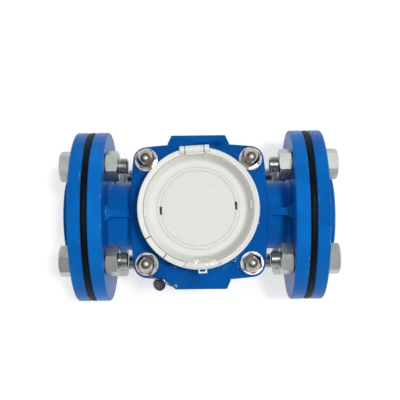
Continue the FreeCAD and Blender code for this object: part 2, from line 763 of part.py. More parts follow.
def measuring_insert():
    ends = disc(INSERT_REACH, -INSERT_R, INSERT_R)
    tube = bar(INSERT_R, -INSERT_REACH, INSERT_REACH).common(ends)
    bridge_r = BRIDGE_R + INSERT_CLEARANCE
    tower = disc(bridge_r + TOWER_WALL, 0, LEDGE_Z + PAST)
    flange = disc(LEDGE_R - INSERT_CLEARANCE, LEDGE_Z, SEAT_Z)
    insert = joined(tube, tower, flange)
    cuts = [bar(TUBE_R, -POCKET_D, POCKET_D)]
    cuts.append(disc(CHAMBER_D / 2, CHAMBER_FLOOR_Z, SEAT_Z + PAST))
    cuts.append(disc(bridge_r, BRIDGE_Z, SEAT_Z + PAST))
    cuts.append(on_spindle(disc(SPINDLE_D / 2 + RUNNING_CLEARANCE, 0, SEAT_Z)))
    hole = disc(INSERT_SCREW_D / 2 + THREAD_CLEARANCE, INSERT_SCREW_FOOT_Z, SEAT_Z + PAST)
    cuts += screw_places(hole)
    return insert.cut(cuts)


def carrier_ring(start, end):
    return bar(CARRIER_R, start, end).cut(bar(CARRIER_R - CARRIER_RING_T, start - PAST, end + PAST))


def straight_vanes(count, start, end, hub_r):
    outer = CARRIER_R - CARRIER_RING_T / 2
    vane = block((start, -VANE_T / 2, hub_r - VANE_T), (end, VANE_T / 2, outer))
    return [spun(vane, (k + 0.5) * 360.0 / count, X) for k in range(count)]


def flow_straightener():
    hub_r = ROTOR_HUB_D / 2
    hub = bar(hub_r, STRAIGHTENER_START_X, STRAIGHTENER_END_X)
    hub = rounded(hub, NOSE_ROUND, (hub_r, X * STRAIGHTENER_START_X))
    vane_start = STRAIGHTENER_START_X + NOSE_ROUND / 2
    ring = carrier_ring(vane_start, STRAIGHTENER_END_X)
    vanes = straight_vanes(STRAIGHTENER_VANES, vane_start, STRAIGHTENER_END_X, hub_r)
    bearing = bar(BEARING_D / 2, STRAIGHTENER_END_X - BEARING_LENGTH, STRAIGHTENER_END_X + PAST)
    return joined(hub, ring, *vanes).cut(bearing)


def rear_carrier():
    """Holds the rear bearing, the worm wheel and the foot of the drive spindle."""
    hub = bar(REAR_HUB_R, REAR_HUB_X, REAR_HUB_END_X)
    tail_length = REAR_TAIL_END_X - REAR_HUB_END_X
    tail = Part.makeCone(REAR_HUB_R, REAR_TAIL_D / 2, tail_length, X * REAR_HUB_END_X, X)
    column = on_spindle(disc(SPINDLE_COLUMN_D / 2, 0, CARRIER_R))
    column = column.common(bar(CARRIER_R, REAR_HUB_X, REAR_HUB_END_X))
    ring_start = REAR_HUB_X + REAR_RING_SETBACK
    ring = carrier_ring(ring_start, REAR_HUB_END_X)
    vanes = straight_vanes(REAR_VANES, ring_start, REAR_HUB_END_X, REAR_HUB_R)
    carrier = joined(hub, tail, column, ring, *vanes)
    spindle_hole = on_spindle(disc(SPINDLE_D / 2 + RUNNING_CLEARANCE, SPINDLE_FOOT_Z - SEAT_GAP, TUBE_R))
    bearing = bar(BEARING_D / 2, REAR_POCKET_END_X - PAST, REAR_POCKET_END_X + BEARING_LENGTH)
    return carrier.cut([rear_pocket(), spindle_hole, bearing])


def rear_pocket():
    """The room inside the hub for the worm and its wheel."""
    half = REAR_POCKET_HALF
    return block((ROTOR_END_X, REAR_POCKET_Y, -half), (REAR_POCKET_END_X, half, half))


def bearing_bush(start):
    inner = bar(SHAFT_D / 2 + RUNNING_CLEARANCE, start - PAST, start + BEARING_LENGTH + PAST)
    return bar(BEARING_D / 2, start, start + BEARING_LENGTH).cut(inner)


# Rotor and drive


def rotor_vane():
    """One helical blade, lofted through radial sections that turn as they go along."""
    inner = ROTOR_HUB_D / 2 - ROTOR_VANE_T
    outer = TUBE_R - ROTOR_TIP_GAP
    half = ROTOR_VANE_T / 2
    corners = ((-half, inner), (half, inner), (half, outer), (-half, outer))
    sections = []
    for k in range(ROTOR_VANE_SECTIONS):
        share = k / (ROTOR_VANE_SECTIONS - 1)
        x = ROTOR_START_X + share * (ROTOR_END_X - ROTOR_START_X)
        ring = [Vector(x, y, z) for y, z in corners]
        sections.append(spun(Part.makePolygon(ring + ring[:1]), share * ROTOR_TWIST, X))
    return Part.makeLoft(sections, True, False)


def turbine_rotor():
    hub = bar(ROTOR_HUB_D / 2, ROTOR_START_X, ROTOR_END_X)
    vane = rotor_vane()
    vanes = [spun(vane, k * 360.0 / ROTOR_VANES, X) for k in range(ROTOR_VANES)]
    bore = bar(SHAFT_D / 2, ROTOR_START_X - PAST, ROTOR_END_X + PAST)
    return hub.multiFuse(vanes).cut(bore)


def rotor_shaft():
    start = STRAIGHTENER_END_X - BEARING_LENGTH + SEAT_GAP
    return bar(SHAFT_D / 2, start, REAR_POCKET_END_X + BEARING_LENGTH - SEAT_GAP)


def worm():
    """A single-start right-hand worm on the rotor shaft."""
    length = WORM_PITCH * WORM_TURNS
    root = WORM_ROOT_SHARE * WORM_PITCH / 2
    tip = WORM_TIP_SHARE * WORM_PITCH / 2
    inner = WORM_CORE_R - WORM_ROOT_SINK
    section = ((inner, -root), (WORM_TIP_R, -tip), (WORM_TIP_R, tip), (inner, root))
    ring = [Vector(radius, 0, z) for radius, z in section]
    helix = Part.makeHelix(WORM_PITCH, length, WORM_CORE_R)
    thread = Part.Wire(helix).makePipeShell([Part.makePolygon(ring + ring[:1])], True, True)
    # One turn of the thread faces the wheel halfway along, whatever the number of turns.
    thread = spun(thread, 270 - 180 * WORM_TURNS)
    core = disc(WORM_CORE_R, -WORM_PITCH / 2, length + WORM_PITCH / 2)
    bore = disc(SHAFT_D / 2, -WORM_PITCH, length + WORM_PITCH)
    return laid(core.fuse(thread).cut(bore), WORM_X - length / 2)


def on_spindle(shape):
    return moved(shape, WORM_X, SPINDLE_Y)


def worm_wheel():
    turn = gap_towards(90, WHEEL_TEETH)
    return on_spindle(gear(WHEEL_TEETH, WHEEL_MODULE, -WHEEL_T / 2, WHEEL_T / 2, SPINDLE_D / 2, turn))


def drive_spindle():
    return on_spindle(disc(SPINDLE_D / 2, SPINDLE_FOOT_Z, TRANSFER_TOP_Z + SEAT_GAP))


def transfer_pinion():
    return on_spindle(transfer_wheel(TRANSFER_TEETH[0], SPINDLE_ANGLE + 180))


def transfer_gear():
    teeth = TRANSFER_TEETH[1]
    return transfer_wheel(teeth, gap_towards(SPINDLE_ANGLE, teeth))


def transfer_wheel(teeth, turn):
    return gear(teeth, TRANSFER_MODULE, TRANSFER_Z, TRANSFER_TOP_Z, SPINDLE_D / 2, turn)


def magnet_spindle():
    return disc(SPINDLE_D / 2, BRIDGE_Z, CUP_TOP_Z - CUP_TOP_T - SEAT_GAP)


def drive_magnet():
    bore = disc(SPINDLE_D / 2, MAGNET_Z - PAST, MAGNET_TOP_Z + PAST)
    return disc(MAGNET_D / 2, MAGNET_Z, MAGNET_TOP_Z).cut(bore)


def gear_bridge():
    plate = disc(BRIDGE_R, BRIDGE_Z, BRIDGE_Z + BRIDGE_T)
    hole = disc(SPINDLE_D / 2 + RUNNING_CLEARANCE, BRIDGE_Z - PAST, BRIDGE_Z + BRIDGE_T + PAST)
    return plate.cut([hole, on_spindle(hole)])


def pressure_plate():
    """Brass cup that keeps the water below and lets the magnets pull through its top."""
    flange = disc(CUP_FLANGE_R, SEAT_Z, CUP_FLANGE_TOP_Z)
    cup = disc(CUP_R, SEAT_Z, CUP_TOP_Z)
    inside = disc(CUP_R - CUP_WALL, SEAT_Z - PAST, CUP_TOP_Z - CUP_TOP_T)
    head_r = INSERT_SCREW_HEAD_D / 2 + THREAD_CLEARANCE
    heads = screw_places(disc(head_r, INSERT_SCREW_NECK_Z, CUP_FLANGE_TOP_Z + PAST))
    hole_r = INSERT_SCREW_D / 2 + THREAD_CLEARANCE
    holes = screw_places(disc(hole_r, SEAT_Z - PAST, CUP_FLANGE_TOP_Z))
    return joined(flange, cup).cut([inside] + heads + holes)


def insert_screws():
    head = disc(INSERT_SCREW_HEAD_D / 2, INSERT_SCREW_NECK_Z, CUP_FLANGE_TOP_Z)
    shank = disc(INSERT_SCREW_D / 2, INSERT_SCREW_FOOT_Z, INSERT_SCREW_NECK_Z)
    return Part.Compound(screw_places(joined(head, shank)))


# Register, modelled square to the body and turned as one to its own angle


def register_can():
    outer = disc(CAN_R, CAN_FLOOR_Z, CAN_TOP_Z)
    return outer.cut(disc(CAN_R - CAN_WALL, CAN_INSIDE_Z, CAN_TOP_Z + PAST))


def glass_seal():
    outer = disc(CAN_R, CAN_TOP_Z, GLASS_Z)
    return outer.cut(disc(CAN_R - GLASS_SEAL_W, CAN_TOP_Z - PAST, GLASS_Z + PAST))


def register_glass():
    return disc(CAN_R, GLASS_Z, GLASS_TOP_Z)


def ring_shell():
    inner = RING_R - RING_WALL
    foot_top = RING_FOOT_Z + RING_FOOT_H
    shell = turned((
        (RING_FOOT_R, RING_FOOT_Z), (RING_R, RING_FOOT_Z), (RING_R, RING_TOP_Z), (RING_RIM_R, LID_RIM_Z),
        (RING_RIM_R, RING_LEDGE_Z), (RING_MOUTH_R, RING_LEDGE_Z), (RING_MOUTH_R, RING_LIP_Z),
        (inner, RING_LIP_Z), (inner, foot_top), (RING_FOOT_R, foot_top),
    ))
    edges = [(RING_R, Z * RING_TOP_Z), (RING_RIM_R, Z * LID_RIM_Z), (RING_R, Z * RING_FOOT_Z)]
    return rounded(shell, RING_ROUND, *edges)


def hinge_ears():
    """Two ears on the rim with the pin's hole between them."""
    eye = bar(KNUCKLE_R, EAR_START, EAR_START + EAR_W, HINGE_R, HINGE_Z)
    low = (EAR_START, HINGE_R - KNUCKLE_R, HINGE_Z - EAR_FOOT_H)
    foot = block(low, (EAR_START + EAR_W, HINGE_R + KNUCKLE_R, HINGE_Z))
    ear = joined(eye, foot)
    return [ear, ear.mirror(Vector(), X)]


def hinge_notch():
    low = (-EAR_START, LID_FLAT_R, HINGE_Z - KNUCKLE_R - EAR_GAP)
    return block(low, (EAR_START, 2 * RING_R, HINGE_Z + KNUCKLE_D))


def scoop_circle(radius_change, bottom, top):
    """The round outline of the thumb scoop, through its two ends and its innermost point."""
    rise = SCOOP_SIDE_R - SCOOP_INNER_R
    radius = (SCOOP_HALF ** 2 + rise ** 2) / (2 * rise)
    return disc(radius + radius_change, bottom, top, 0, -(SCOOP_INNER_R + radius))


def eyelet():
    half = EYELET_W / 2
    reach = -(RING_R + EYELET_REACH)
    top = RING_TOP_Z - EYELET_DROP
    low = top - EYELET_H
    loop = block((-half, reach, low), (half, RING_WALL / 2 - RING_R, top))
    hole_low = (EYELET_WALL - half, reach + EYELET_WALL, low - PAST)
    hole = block(hole_low, (half - EYELET_WALL, -RING_R, top + PAST))
    return loop.cut(hole)


def scoop_room():
    """What the ring leaves free for the lip of the lid's thumb scoop."""
    low = SCOOP_UNDER_Z - SEAT_GAP
    top = RING_TOP_Z + PAST
    room = scoop_circle(SEAT_GAP, low, top)
    room = room.common(disc(SCOOP_OUTER_R + SEAT_GAP, low, top))
    return room.cut(disc(LID_R, low - PAST, top + PAST))


def register_ring():
    shell = ring_shell().multiFuse(hinge_ears() + [eyelet()])
    cuts = [hinge_notch(), scoop_room()]
    cuts.append(bar(HINGE_PIN_D / 2, -RING_R, RING_R, HINGE_R, HINGE_Z))
    slit_low = (LID_R, -RIM_SLIT_W / 2, RING_TOP_Z - RIM_SLIT_DEPTH)
    slit = block(slit_low, (2 * RING_R, RIM_SLIT_W / 2, RING_TOP_Z + PAST))
    cuts += [spun(slit, angle) for angle in RIM_SLIT_ANGLES]
    return shell.cut(cuts)


def hinge_pin():
    half = EAR_START + EAR_W
    return bar(HINGE_PIN_D / 2, -half, half, HINGE_R, HINGE_Z)


def cove_arc(radius, reach):
    """An arc about the cove's centre, from the lid's flat out to a reach."""
    points = []
    for width in (0, reach / 2, reach):
        points.append(Vector(LID_FLAT_R + width, 0, LID_COVE_Z - math.sqrt(radius ** 2 - width ** 2)))
    return Part.Arc(*points).toShape()


def turned_from(arc, corners):
    """A round piece about Z whose half section is an arc closed through a few corners."""
    start, end = arc.Vertexes[0].Point, arc.Vertexes[-1].Point
    path = Part.makePolygon([end] + [Vector(radius, 0, height) for radius, height in corners] + [start])
    return Part.Face(Part.Wire([arc] + path.Edges)).revolve(Vector(), Z, 360)


def lid_dish():
    """What is hollowed out of the lid's top: the flat face and the cove around it."""
    mouth = LID_FLAT_R + LID_COVE_W
    top = LID_RIM_Z + PAST
    return turned_from(cove_arc(LID_COVE_R, LID_COVE_W), ((mouth, top), (0, top), (0, LID_FACE_Z)))


def lid_hollow():
    rim = LID_FOOT_R - LID_WALL
    foot = LID_FOOT_Z - PAST
    arc = cove_arc(LID_COVE_R + LID_WALL, rim - LID_FLAT_R)
    return turned_from(arc, ((rim, foot), (0, foot), (0, LID_UNDER_Z)))


def scoop_tab():
    """The thumb tab, which fills the cove and reaches out over the ring's rim, with a shallow hollow."""
    inner = scoop_circle(0, LID_FACE_Z, SCOOP_FLOOR_Z).common(disc(LID_FOOT_R, LID_FACE_Z, SCOOP_FLOOR_Z))
    outer = scoop_circle(0, SCOOP_UNDER_Z, SCOOP_FLOOR_Z)
    outer = outer.common(disc(SCOOP_OUTER_R, SCOOP_UNDER_Z, SCOOP_FLOOR_Z))
    middle = -(SCOOP_INNER_R + SCOOP_OUTER_R) / 2
    height = SCOOP_FLOOR_Z - SCOOP_HOLLOW_DEPTH + SCOOP_HOLLOW_R
    hollow = bar(SCOOP_HOLLOW_R, -2 * SCOOP_HALF, 2 * SCOOP_HALF, middle, height)
    return joined(inner, outer).cut(hollow)


def lid_pads():
    outer = LID_R - LID_PAD_INSET
    low = (outer - LID_PAD_W, -LID_PAD_L / 2, LID_FACE_Z)
    pad = block(low, (outer, LID_PAD_L / 2, LID_RIM_Z - LID_PAD_DROP))
    return [pad, spun(pad, 180)]


def lid():
    skirt = turned(((0, LID_FOOT_Z), (LID_FOOT_R, LID_FOOT_Z), (LID_R, LID_RIM_Z), (0, LID_RIM_Z)))
    knuckle = bar(KNUCKLE_R, -KNUCKLE_HALF, KNUCKLE_HALF, HINGE_R, HINGE_Z)
    arm_low = (-KNUCKLE_HALF, LID_R - 2 * LID_LAND_W, HINGE_Z - KNUCKLE_R)
    arm = block(arm_low, (KNUCKLE_HALF, HINGE_R, HINGE_Z + KNUCKLE_R / 4))
    bead = disc(BEAD_R, LID_FACE_Z - BEAD_H, LID_FACE_Z + BEAD_H)
    bead = bead.cut(disc(BEAD_R - BEAD_W, LID_FACE_Z - PAST, LID_FACE_Z + PAST))
    shell = skirt.cut([lid_dish(), lid_hollow()])
    shell = shell.multiFuse([scoop_tab(), knuckle, arm, bead] + lid_pads())
    cuts = [bar(HINGE_PIN_D / 2 + RUNNING_CLEARANCE, -LID_R, LID_R, HINGE_R, HINGE_Z)]
    slot_low = (LID_SLOT_R - LID_SLOT_W / 2, -LID_SLOT_L / 2, LID_UNDER_Z - PAST)
    slot = block(slot_low, (LID_SLOT_R + LID_SLOT_W / 2, LID_SLOT_L / 2, LID_FACE_Z + PAST))
    cuts += [slot, spun(slot, 180)]
    return shell.cut(cuts)


# Register movement


def wheel_one_place():
    return polar(FIRST_MODULE * (PINION_TEETH + WHEEL_ONE_TEETH) / 2, WHEEL_ONE_ANGLE)


def wheel_two_place():
    place = wheel_one_place()
    return Vector(-place.x, place.y, 0)


def idler_place():
    """The point at both gear distances from the two pointer wheels, on the side away from the drums."""
    first = SECOND_MODULE * (PINION_TEETH + IDLER_TEETH) / 2
    second = THIRD_MODULE * (PINION_TEETH + WHEEL_TWO_TEETH) / 2
    one = wheel_one_place()
    across = (second ** 2 - first ** 2) / (4 * one.x)
    down = math.sqrt(first ** 2 - (across - one.x) ** 2)
    return Vector(across, one.y - down, 0)


def direction(start, end):
    return math.degrees(math.atan2(end.y - start.y, end.x - start.x))


def layer_gear(layer, teeth, module, turn):
    bottom = FRAME_TOP_Z + LAYER_START + layer * LAYER_PITCH
    return gear(teeth, module, bottom, bottom + LAYER_T, ARBOR_D / 4, turn)


def arbor(top):
    return disc(ARBOR_D / 2, FRAME_Z, top)


def at_place(shape, place):
    return moved(shape, place.x, place.y)


def input_spindle():
    """The driven magnet's spindle with the first pinion on it, standing through the dial."""
    stem = disc(ARBOR_D / 2, CAN_INSIDE_Z, POINTER_TOP_Z)
    turn = direction(Vector(), wheel_one_place())
    return joined(stem, layer_gear(0, PINION_TEETH, FIRST_MODULE, turn))


def driven_magnet():
    bore = disc(ARBOR_D / 2, DRIVEN_MAGNET_Z - PAST, DRIVEN_MAGNET_TOP_Z + PAST)
    return disc(MAGNET_D / 2, DRIVEN_MAGNET_Z, DRIVEN_MAGNET_TOP_Z).cut(bore)


def flow_star():
    points = []
    for k in range(2 * STAR_POINTS):
        corner = polar(STAR_R if k % 2 == 0 else STAR_R / 2, k * 180.0 / STAR_POINTS)
        points.append((corner.x, corner.y))
    return prism(points, POINTER_Z, POINTER_TOP_Z).cut(pointer_bore())


def pointer_bore():
    return disc(ARBOR_D / 2, POINTER_Z - PAST, POINTER_TOP_Z + PAST)


def wheel_one():
    back = direction(wheel_one_place(), Vector())
    ahead = direction(wheel_one_place(), idler_place())
    big = layer_gear(0, WHEEL_ONE_TEETH, FIRST_MODULE, gap_towards(back, WHEEL_ONE_TEETH))
    small = layer_gear(1, PINION_TEETH, SECOND_MODULE, ahead)
    return at_place(joined(arbor(POINTER_TOP_Z), big, small), wheel_one_place())


def idler_wheel():
    back = direction(idler_place(), wheel_one_place())
    ahead = direction(idler_place(), wheel_two_place())
    big = layer_gear(1, IDLER_TEETH, SECOND_MODULE, gap_towards(back, IDLER_TEETH))
    small = layer_gear(2, PINION_TEETH, THIRD_MODULE, ahead)
    return at_place(joined(arbor(DIAL_TOP_Z), big, small), idler_place())


def wheel_two():
    back = direction(wheel_two_place(), idler_place())
    big = layer_gear(2, WHEEL_TWO_TEETH, THIRD_MODULE, gap_towards(back, WHEEL_TWO_TEETH))
    return at_place(joined(arbor(POINTER_TOP_Z), big), wheel_two_place())


def pointer(place):
    half = POINTER_W / 2
    tail = POINTER_LENGTH / 3
    blade = prism(((-half, -tail), (half, -tail), (0, POINTER_LENGTH)), POINTER_Z, POINTER_TOP_Z)
    hub = disc(POINTER_W, POINTER_Z, POINTER_TOP_Z)
    return at_place(joined(hub, blade).cut(pointer_bore()), place)


def arbor_holes(bottom, top):
    hole = disc(ARBOR_D / 2 + RUNNING_CLEARANCE, bottom - PAST, top + PAST)
    places = (Vector(), wheel_one_place(), idler_place(), wheel_two_place())
    return [at_place(hole, place) for place in places]


def movement_frame():
    """Base plate on three legs, three pillars under the dial and two posts for the counter's axle."""
    base = disc(FRAME_R, FRAME_Z, FRAME_TOP_Z)
    pillar = disc(PILLAR_D / 2, CAN_INSIDE_Z, DIAL_Z, PILLAR_R)
    pillars = [spun(pillar, 90 + k * 360.0 / PILLARS) for k in range(PILLARS)]
    post_low = (DRUMS_HALF + DRUM_GAP, DRUM_Y - AXLE_D, FRAME_Z)
    post = block(post_low, (DRUMS_HALF + AXLE_D, DRUM_Y + AXLE_D, NUMBER_AXIS_Z + AXLE_D))
    frame = joined(base, *pillars, post, post.mirror(Vector(), X))
    axle_hole = bar(AXLE_D / 2, -CAN_D, CAN_D, DRUM_Y, NUMBER_AXIS_Z)
    return frame.cut(arbor_holes(FRAME_Z, FRAME_TOP_Z) + [axle_hole])


def dial_plate():
    plate = disc(FRAME_R, DIAL_Z, DIAL_TOP_Z)
    half = DRUMS_HALF + WINDOW_MARGIN
    window_low = (-half, DRUM_Y - WINDOW_H / 2, DIAL_Z - PAST)
    window = block(window_low, (half, DRUM_Y + WINDOW_H / 2, DIAL_TOP_Z + PAST))
    return plate.cut(arbor_holes(DIAL_Z, DIAL_TOP_Z) + [window])


def counter_axle():
    end = DRUMS_HALF + AXLE_D
    return bar(AXLE_D / 2, -end, end, DRUM_Y, NUMBER_AXIS_Z)


def number_drum(k):
    """Drum 1 is the fastest one, at the right-hand end."""
    end = DRUMS_HALF - k * DRUM_PITCH - DRUM_GAP / 2
    start = end - DRUM_PITCH + DRUM_GAP
    bore = bar(AXLE_D / 2 + RUNNING_CLEARANCE, start - PAST, end + PAST, DRUM_Y, NUMBER_AXIS_Z)
    return bar(NUMBER_DRUM_D / 2, start, end, DRUM_Y, NUMBER_AXIS_Z).cut(bore)


# Seal


def wire_path():
    """Straight runs joined by arcs that are as wide as the runs beside them allow."""
    points = [Vector(*point) for point in WIRE_ROUTE]
    edges = []
    start = points[0]
    for before, corner, after in zip(points, points[1:], points[2:]):
        coming = (corner - before).normalize()
        going = (after - corner).normalize()
        turn = coming.getAngle(going)
        run = min((corner - before).Length, (after - corner).Length)
        if turn < TINY:
            continue
        cut = WIRE_BEND_SHARE * run
        first = corner - coming * cut
        last = corner + going * cut
        inward = (going - coming).normalize()
        radius = cut / math.tan(turn / 2)
        middle = corner + inward * (radius / math.cos(turn / 2) - radius)
        edges.append(Part.LineSegment(start, first).toShape())
        edges.append(Part.Arc(first, middle, last).toShape())
        start = last
    edges.append(Part.LineSegment(start, points[-1]).toShape())
    return Part.Wire(edges)


def wire_tube(diameter):
    path = wire_path()
    first, second = [Vector(*point) for point in WIRE_ROUTE[:2]]
    profile = Part.Wire(Part.makeCircle(diameter / 2, first, second - first))
    return path.makePipeShell([profile], True, False)


def seal_wire():
    return wire_tube(WIRE_D)


def lead_seal():
    """A cast lead disc, squeezed on to the wire."""
    half = LEAD_T / 2
    slug = disc(LEAD_D / 2, -half, half)
    slug = rounded(slug, LEAD_ROUND, (LEAD_D / 2, Z * half), (LEAD_D / 2, Z * -half))
    slug.Placement = Placement(Vector(*LEAD_MIDDLE), Rotation(Z, Vector(*LEAD_FACING)))
    return slug.cut(wire_tube(WIRE_D + 2 * LEAD_CLEARANCE))


def fixed_pieces():
    flange = companion_flange()
    seal = gasket()
    bolts = flange_bolts()
    nuts = flange_nuts()
    return {
        "meter_body": meter_body(),
        "cover_plate": cover_plate(),
        "cover_seal": seal_ring_solid(),
        "cover_studs": cover_studs(),
        "cover_washers": cover_washers(),
        "cover_dome_nuts": cover_dome_nuts(),
        "outlet_companion_flange": flange,
        "inlet_companion_flange": flange.mirror(Vector(), X),
        "outlet_gasket": seal,
        "inlet_gasket": seal.mirror(Vector(), X),
        "outlet_flange_bolts": bolts,
        "inlet_flange_bolts": bolts.mirror(Vector(), X),
        "outlet_flange_nuts": nuts,
        "inlet_flange_nuts": nuts.mirror(Vector(), X),
        "measuring_insert": measuring_insert(),
        "flow_straightener": flow_straightener(),
        "rear_carrier": rear_carrier(),
        "front_bearing": bearing_bush(STRAIGHTENER_END_X - BEARING_LENGTH),
        "rear_bearing": bearing_bush(REAR_POCKET_END_X),
        "gear_bridge": gear_bridge(),
        "pressure_plate": pressure_plate(),
        "insert_screws": insert_screws(),
        "seal_wire": seal_wire(),
        "lead_seal": lead_seal(),
    }


def drive_pieces():
    return {
        "turbine_rotor": turbine_rotor(),
        "rotor_shaft": rotor_shaft(),
        "worm": worm(),
        "worm_wheel": worm_wheel(),
        "drive_spindle": drive_spindle(),
        "transfer_pinion": transfer_pinion(),
        "transfer_gear": transfer_gear(),
        "magnet_spindle": magnet_spindle(),
        "drive_magnet": drive_magnet(),
    }


def register_pieces():
    pieces = {
        "register_can": register_can(),
        "glass_seal": glass_seal(),
        "register_glass": register_glass(),
        "register_ring": register_ring(),
        "hinge_pin": hinge_pin(),
        "lid": lid(),
        "movement_frame": movement_frame(),
        "dial_plate": dial_plate(),
        "input_spindle": input_spindle(),
        "driven_magnet": driven_magnet(),
        "flow_star": flow_star(),
        "wheel_one": wheel_one(),
        "pointer_one": pointer(wheel_one_place()),
        "idler_wheel": idler_wheel(),
        "wheel_two": wheel_two(),
        "pointer_two": pointer(wheel_two_place()),
        "counter_axle": counter_axle(),
    }
    for k in range(DRUMS):
        pieces[f"number_drum_{k + 1}"] = number_drum(k)
    return {name: spun(shape, REGISTER_TURN) for name, shape in pieces.items()}


def main():
    os.makedirs("parts", exist_ok=True)
    pieces = {**fixed_pieces(), **drive_pieces(), **register_pieces()}
    for name, shape in pieces.items():
        finished = moved(shape, HUB_END_X)
        finished.exportStep(f"parts/{name}.step")
        solids = len(finished.Solids)
        print(f"{name}: solids {solids}, valid {finished.isValid()}, volume {finished.Volume:.1f} mm3")
    run = wire_path().Length
    section = math.pi * WIRE_D ** 2 / 4
    print(f"wire length {run:.1f} mm, section times length {run * section:.1f} mm3")


main()
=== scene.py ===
# %% [markdown]
# # A flanged woltmann water meter
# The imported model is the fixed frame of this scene: every CAD piece keeps its shape and its place.
# The scene gives each piece its real finish, adds the small details that a solid model leaves plain,
# such as thread ridges, printed figures and the twisted seal wire, and lights it like the photograph.

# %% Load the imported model
import math

import bmesh
import bpy
from mathutils import Matrix, Vector


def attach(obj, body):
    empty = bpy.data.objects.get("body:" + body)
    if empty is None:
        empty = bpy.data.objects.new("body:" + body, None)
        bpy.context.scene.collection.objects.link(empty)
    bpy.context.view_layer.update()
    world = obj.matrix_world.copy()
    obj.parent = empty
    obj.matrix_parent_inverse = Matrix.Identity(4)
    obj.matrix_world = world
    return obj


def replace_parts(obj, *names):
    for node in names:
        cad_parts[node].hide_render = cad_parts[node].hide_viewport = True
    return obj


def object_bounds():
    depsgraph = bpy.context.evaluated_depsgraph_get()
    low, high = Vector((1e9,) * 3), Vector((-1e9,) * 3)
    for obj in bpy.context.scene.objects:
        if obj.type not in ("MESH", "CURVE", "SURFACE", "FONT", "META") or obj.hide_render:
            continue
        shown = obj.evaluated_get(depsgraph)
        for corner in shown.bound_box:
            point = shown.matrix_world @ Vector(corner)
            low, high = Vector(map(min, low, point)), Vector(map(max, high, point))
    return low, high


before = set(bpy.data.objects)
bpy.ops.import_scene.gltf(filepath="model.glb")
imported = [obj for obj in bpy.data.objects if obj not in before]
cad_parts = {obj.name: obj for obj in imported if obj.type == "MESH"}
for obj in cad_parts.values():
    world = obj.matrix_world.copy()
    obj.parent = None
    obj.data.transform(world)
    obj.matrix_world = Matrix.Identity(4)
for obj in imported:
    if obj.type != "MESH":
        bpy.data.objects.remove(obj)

cad_low, cad_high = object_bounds()
print("CAD nodes:", len(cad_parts), "box:", list(cad_low), list(cad_high))

# %% [markdown]
# ## Units and places
# The CAD was drawn in millimetres about the middle of the meter, and the row frame is in metres.
# One matrix carries a shape from the drawing to the frame. The register was turned a little on its
# cover when the photograph was taken, so its pieces use a second matrix with that turn.

# %% Units and places
MM = 0.001
HUB_END_X = 128.0
MIDDLE_X = HUB_END_X * MM
REGISTER_TURN = math.radians(3.3)
METER = Matrix.Translation((MIDDLE_X, 0.0, 0.0)) @ Matrix.Scale(MM, 4)
REGISTER = METER @ Matrix.Rotation(REGISTER_TURN, 4, "Z")
print("meter axis at x =", MIDDLE_X, "m")

# %% [markdown]
# ## Helpers for the finishes
# All finishes are procedural. Colours are written as sRGB codes and changed to the linear values that
# a shader needs. One helper adds a node, sets it and links it. Pattern sizes are given in millimetres.

# %% Helpers for the finishes
FINISHES = {}
# Sockets of a Mix node: its factor, two plain values, two colours, and the output for colours
FACTOR, VALUE_A, VALUE_B = 0, 2, 3
COLOUR_A, COLOUR_B, COLOUR = 6, 7, 2


def linear(code):
    """An sRGB code as linear red, green, blue and opacity."""
    channels = [int(code[k:k + 2], 16) / 255 for k in (0, 2, 4)]
    return [c / 12.92 if c <= 0.04045 else ((c + 0.055) / 1.055) ** 2.4 for c in channels] + [1.0]


def per_mm(size):
    """The texture scale at which one feature is about this many millimetres wide."""
    return 1.0 / (size * MM)


def fill(tree, node, sockets):
    """Fills a node's sockets with values or links."""
    for key, value in sockets.items():
        if isinstance(value, bpy.types.NodeSocket):
            tree.links.new(value, node.inputs[key])
        else:
            node.inputs[key].default_value = value


def add(tree, kind, sockets=None, out=0, **settings):
    """Adds a shader node, sets it, fills its sockets and gives back one of its outputs."""
    made = tree.nodes.new("ShaderNode" + kind)
    for name, value in settings.items():
        setattr(made, name, value)
    fill(tree, made, sockets or {})
    return made.outputs[out]


def new_finish(slot, name):
    """An empty finish for a slot: its tree, its shader and the piece's own coordinates in metres."""
    material = bpy.data.materials.new(name)
    material.use_nodes = True
    tree = material.node_tree
    FINISHES[slot] = material
    return tree, tree.nodes["Principled BSDF"], add(tree, "TexCoord", out="Object")


def edges_of(tree, radius, sharp, soft):
    """1 on edges and 0 on open faces, from how far a rounded normal leans from the real one."""
    eased = add(tree, "Bevel", {"Radius": radius * MM}, samples=6)
    real = add(tree, "NewGeometry", out="Normal")
    lean = add(tree, "VectorMath", {0: eased, 1: real}, "Value", operation="DOT_PRODUCT")
    return add(tree, "MapRange", {"Value": lean, "From Min": soft, "From Max": sharp})


def about_axis(tree, where):
    """The place seen from the register's axis, without its height."""
    return add(tree, "Mapping", {"Vector": where, "Location": (-MIDDLE_X, 0, 0), "Scale": (1, 1, 0)})


print("helpers ready")

# %% [markdown]
# ## The blue coat
# The castings and flanges are iron with a thick blue epoxy coat. Such a coat is satin, follows the
# casting's slow waves, has a fine orange peel and loses small chips along its edges and where the
# register turns on the cover; painted shade darkens its corners. A paler primer shows in the chips.
# Body, cover and companion flanges each have their own tone from the same recipe.

# %% The blue coat
# Painted shade: corners and creases of the coat are darkened towards this blue where ambient occlusion is low
CORNER_SHADE_BLUE = "06264F"
SHEEN_BLUE = "0E4C96"
PRIMER = "DCE3E8"
# The ring rubs the cover on a track about the register's axis
TRACK_R = 55.4
TRACK_HALF = 1.6
TRACK_LOW_Z = 53.5


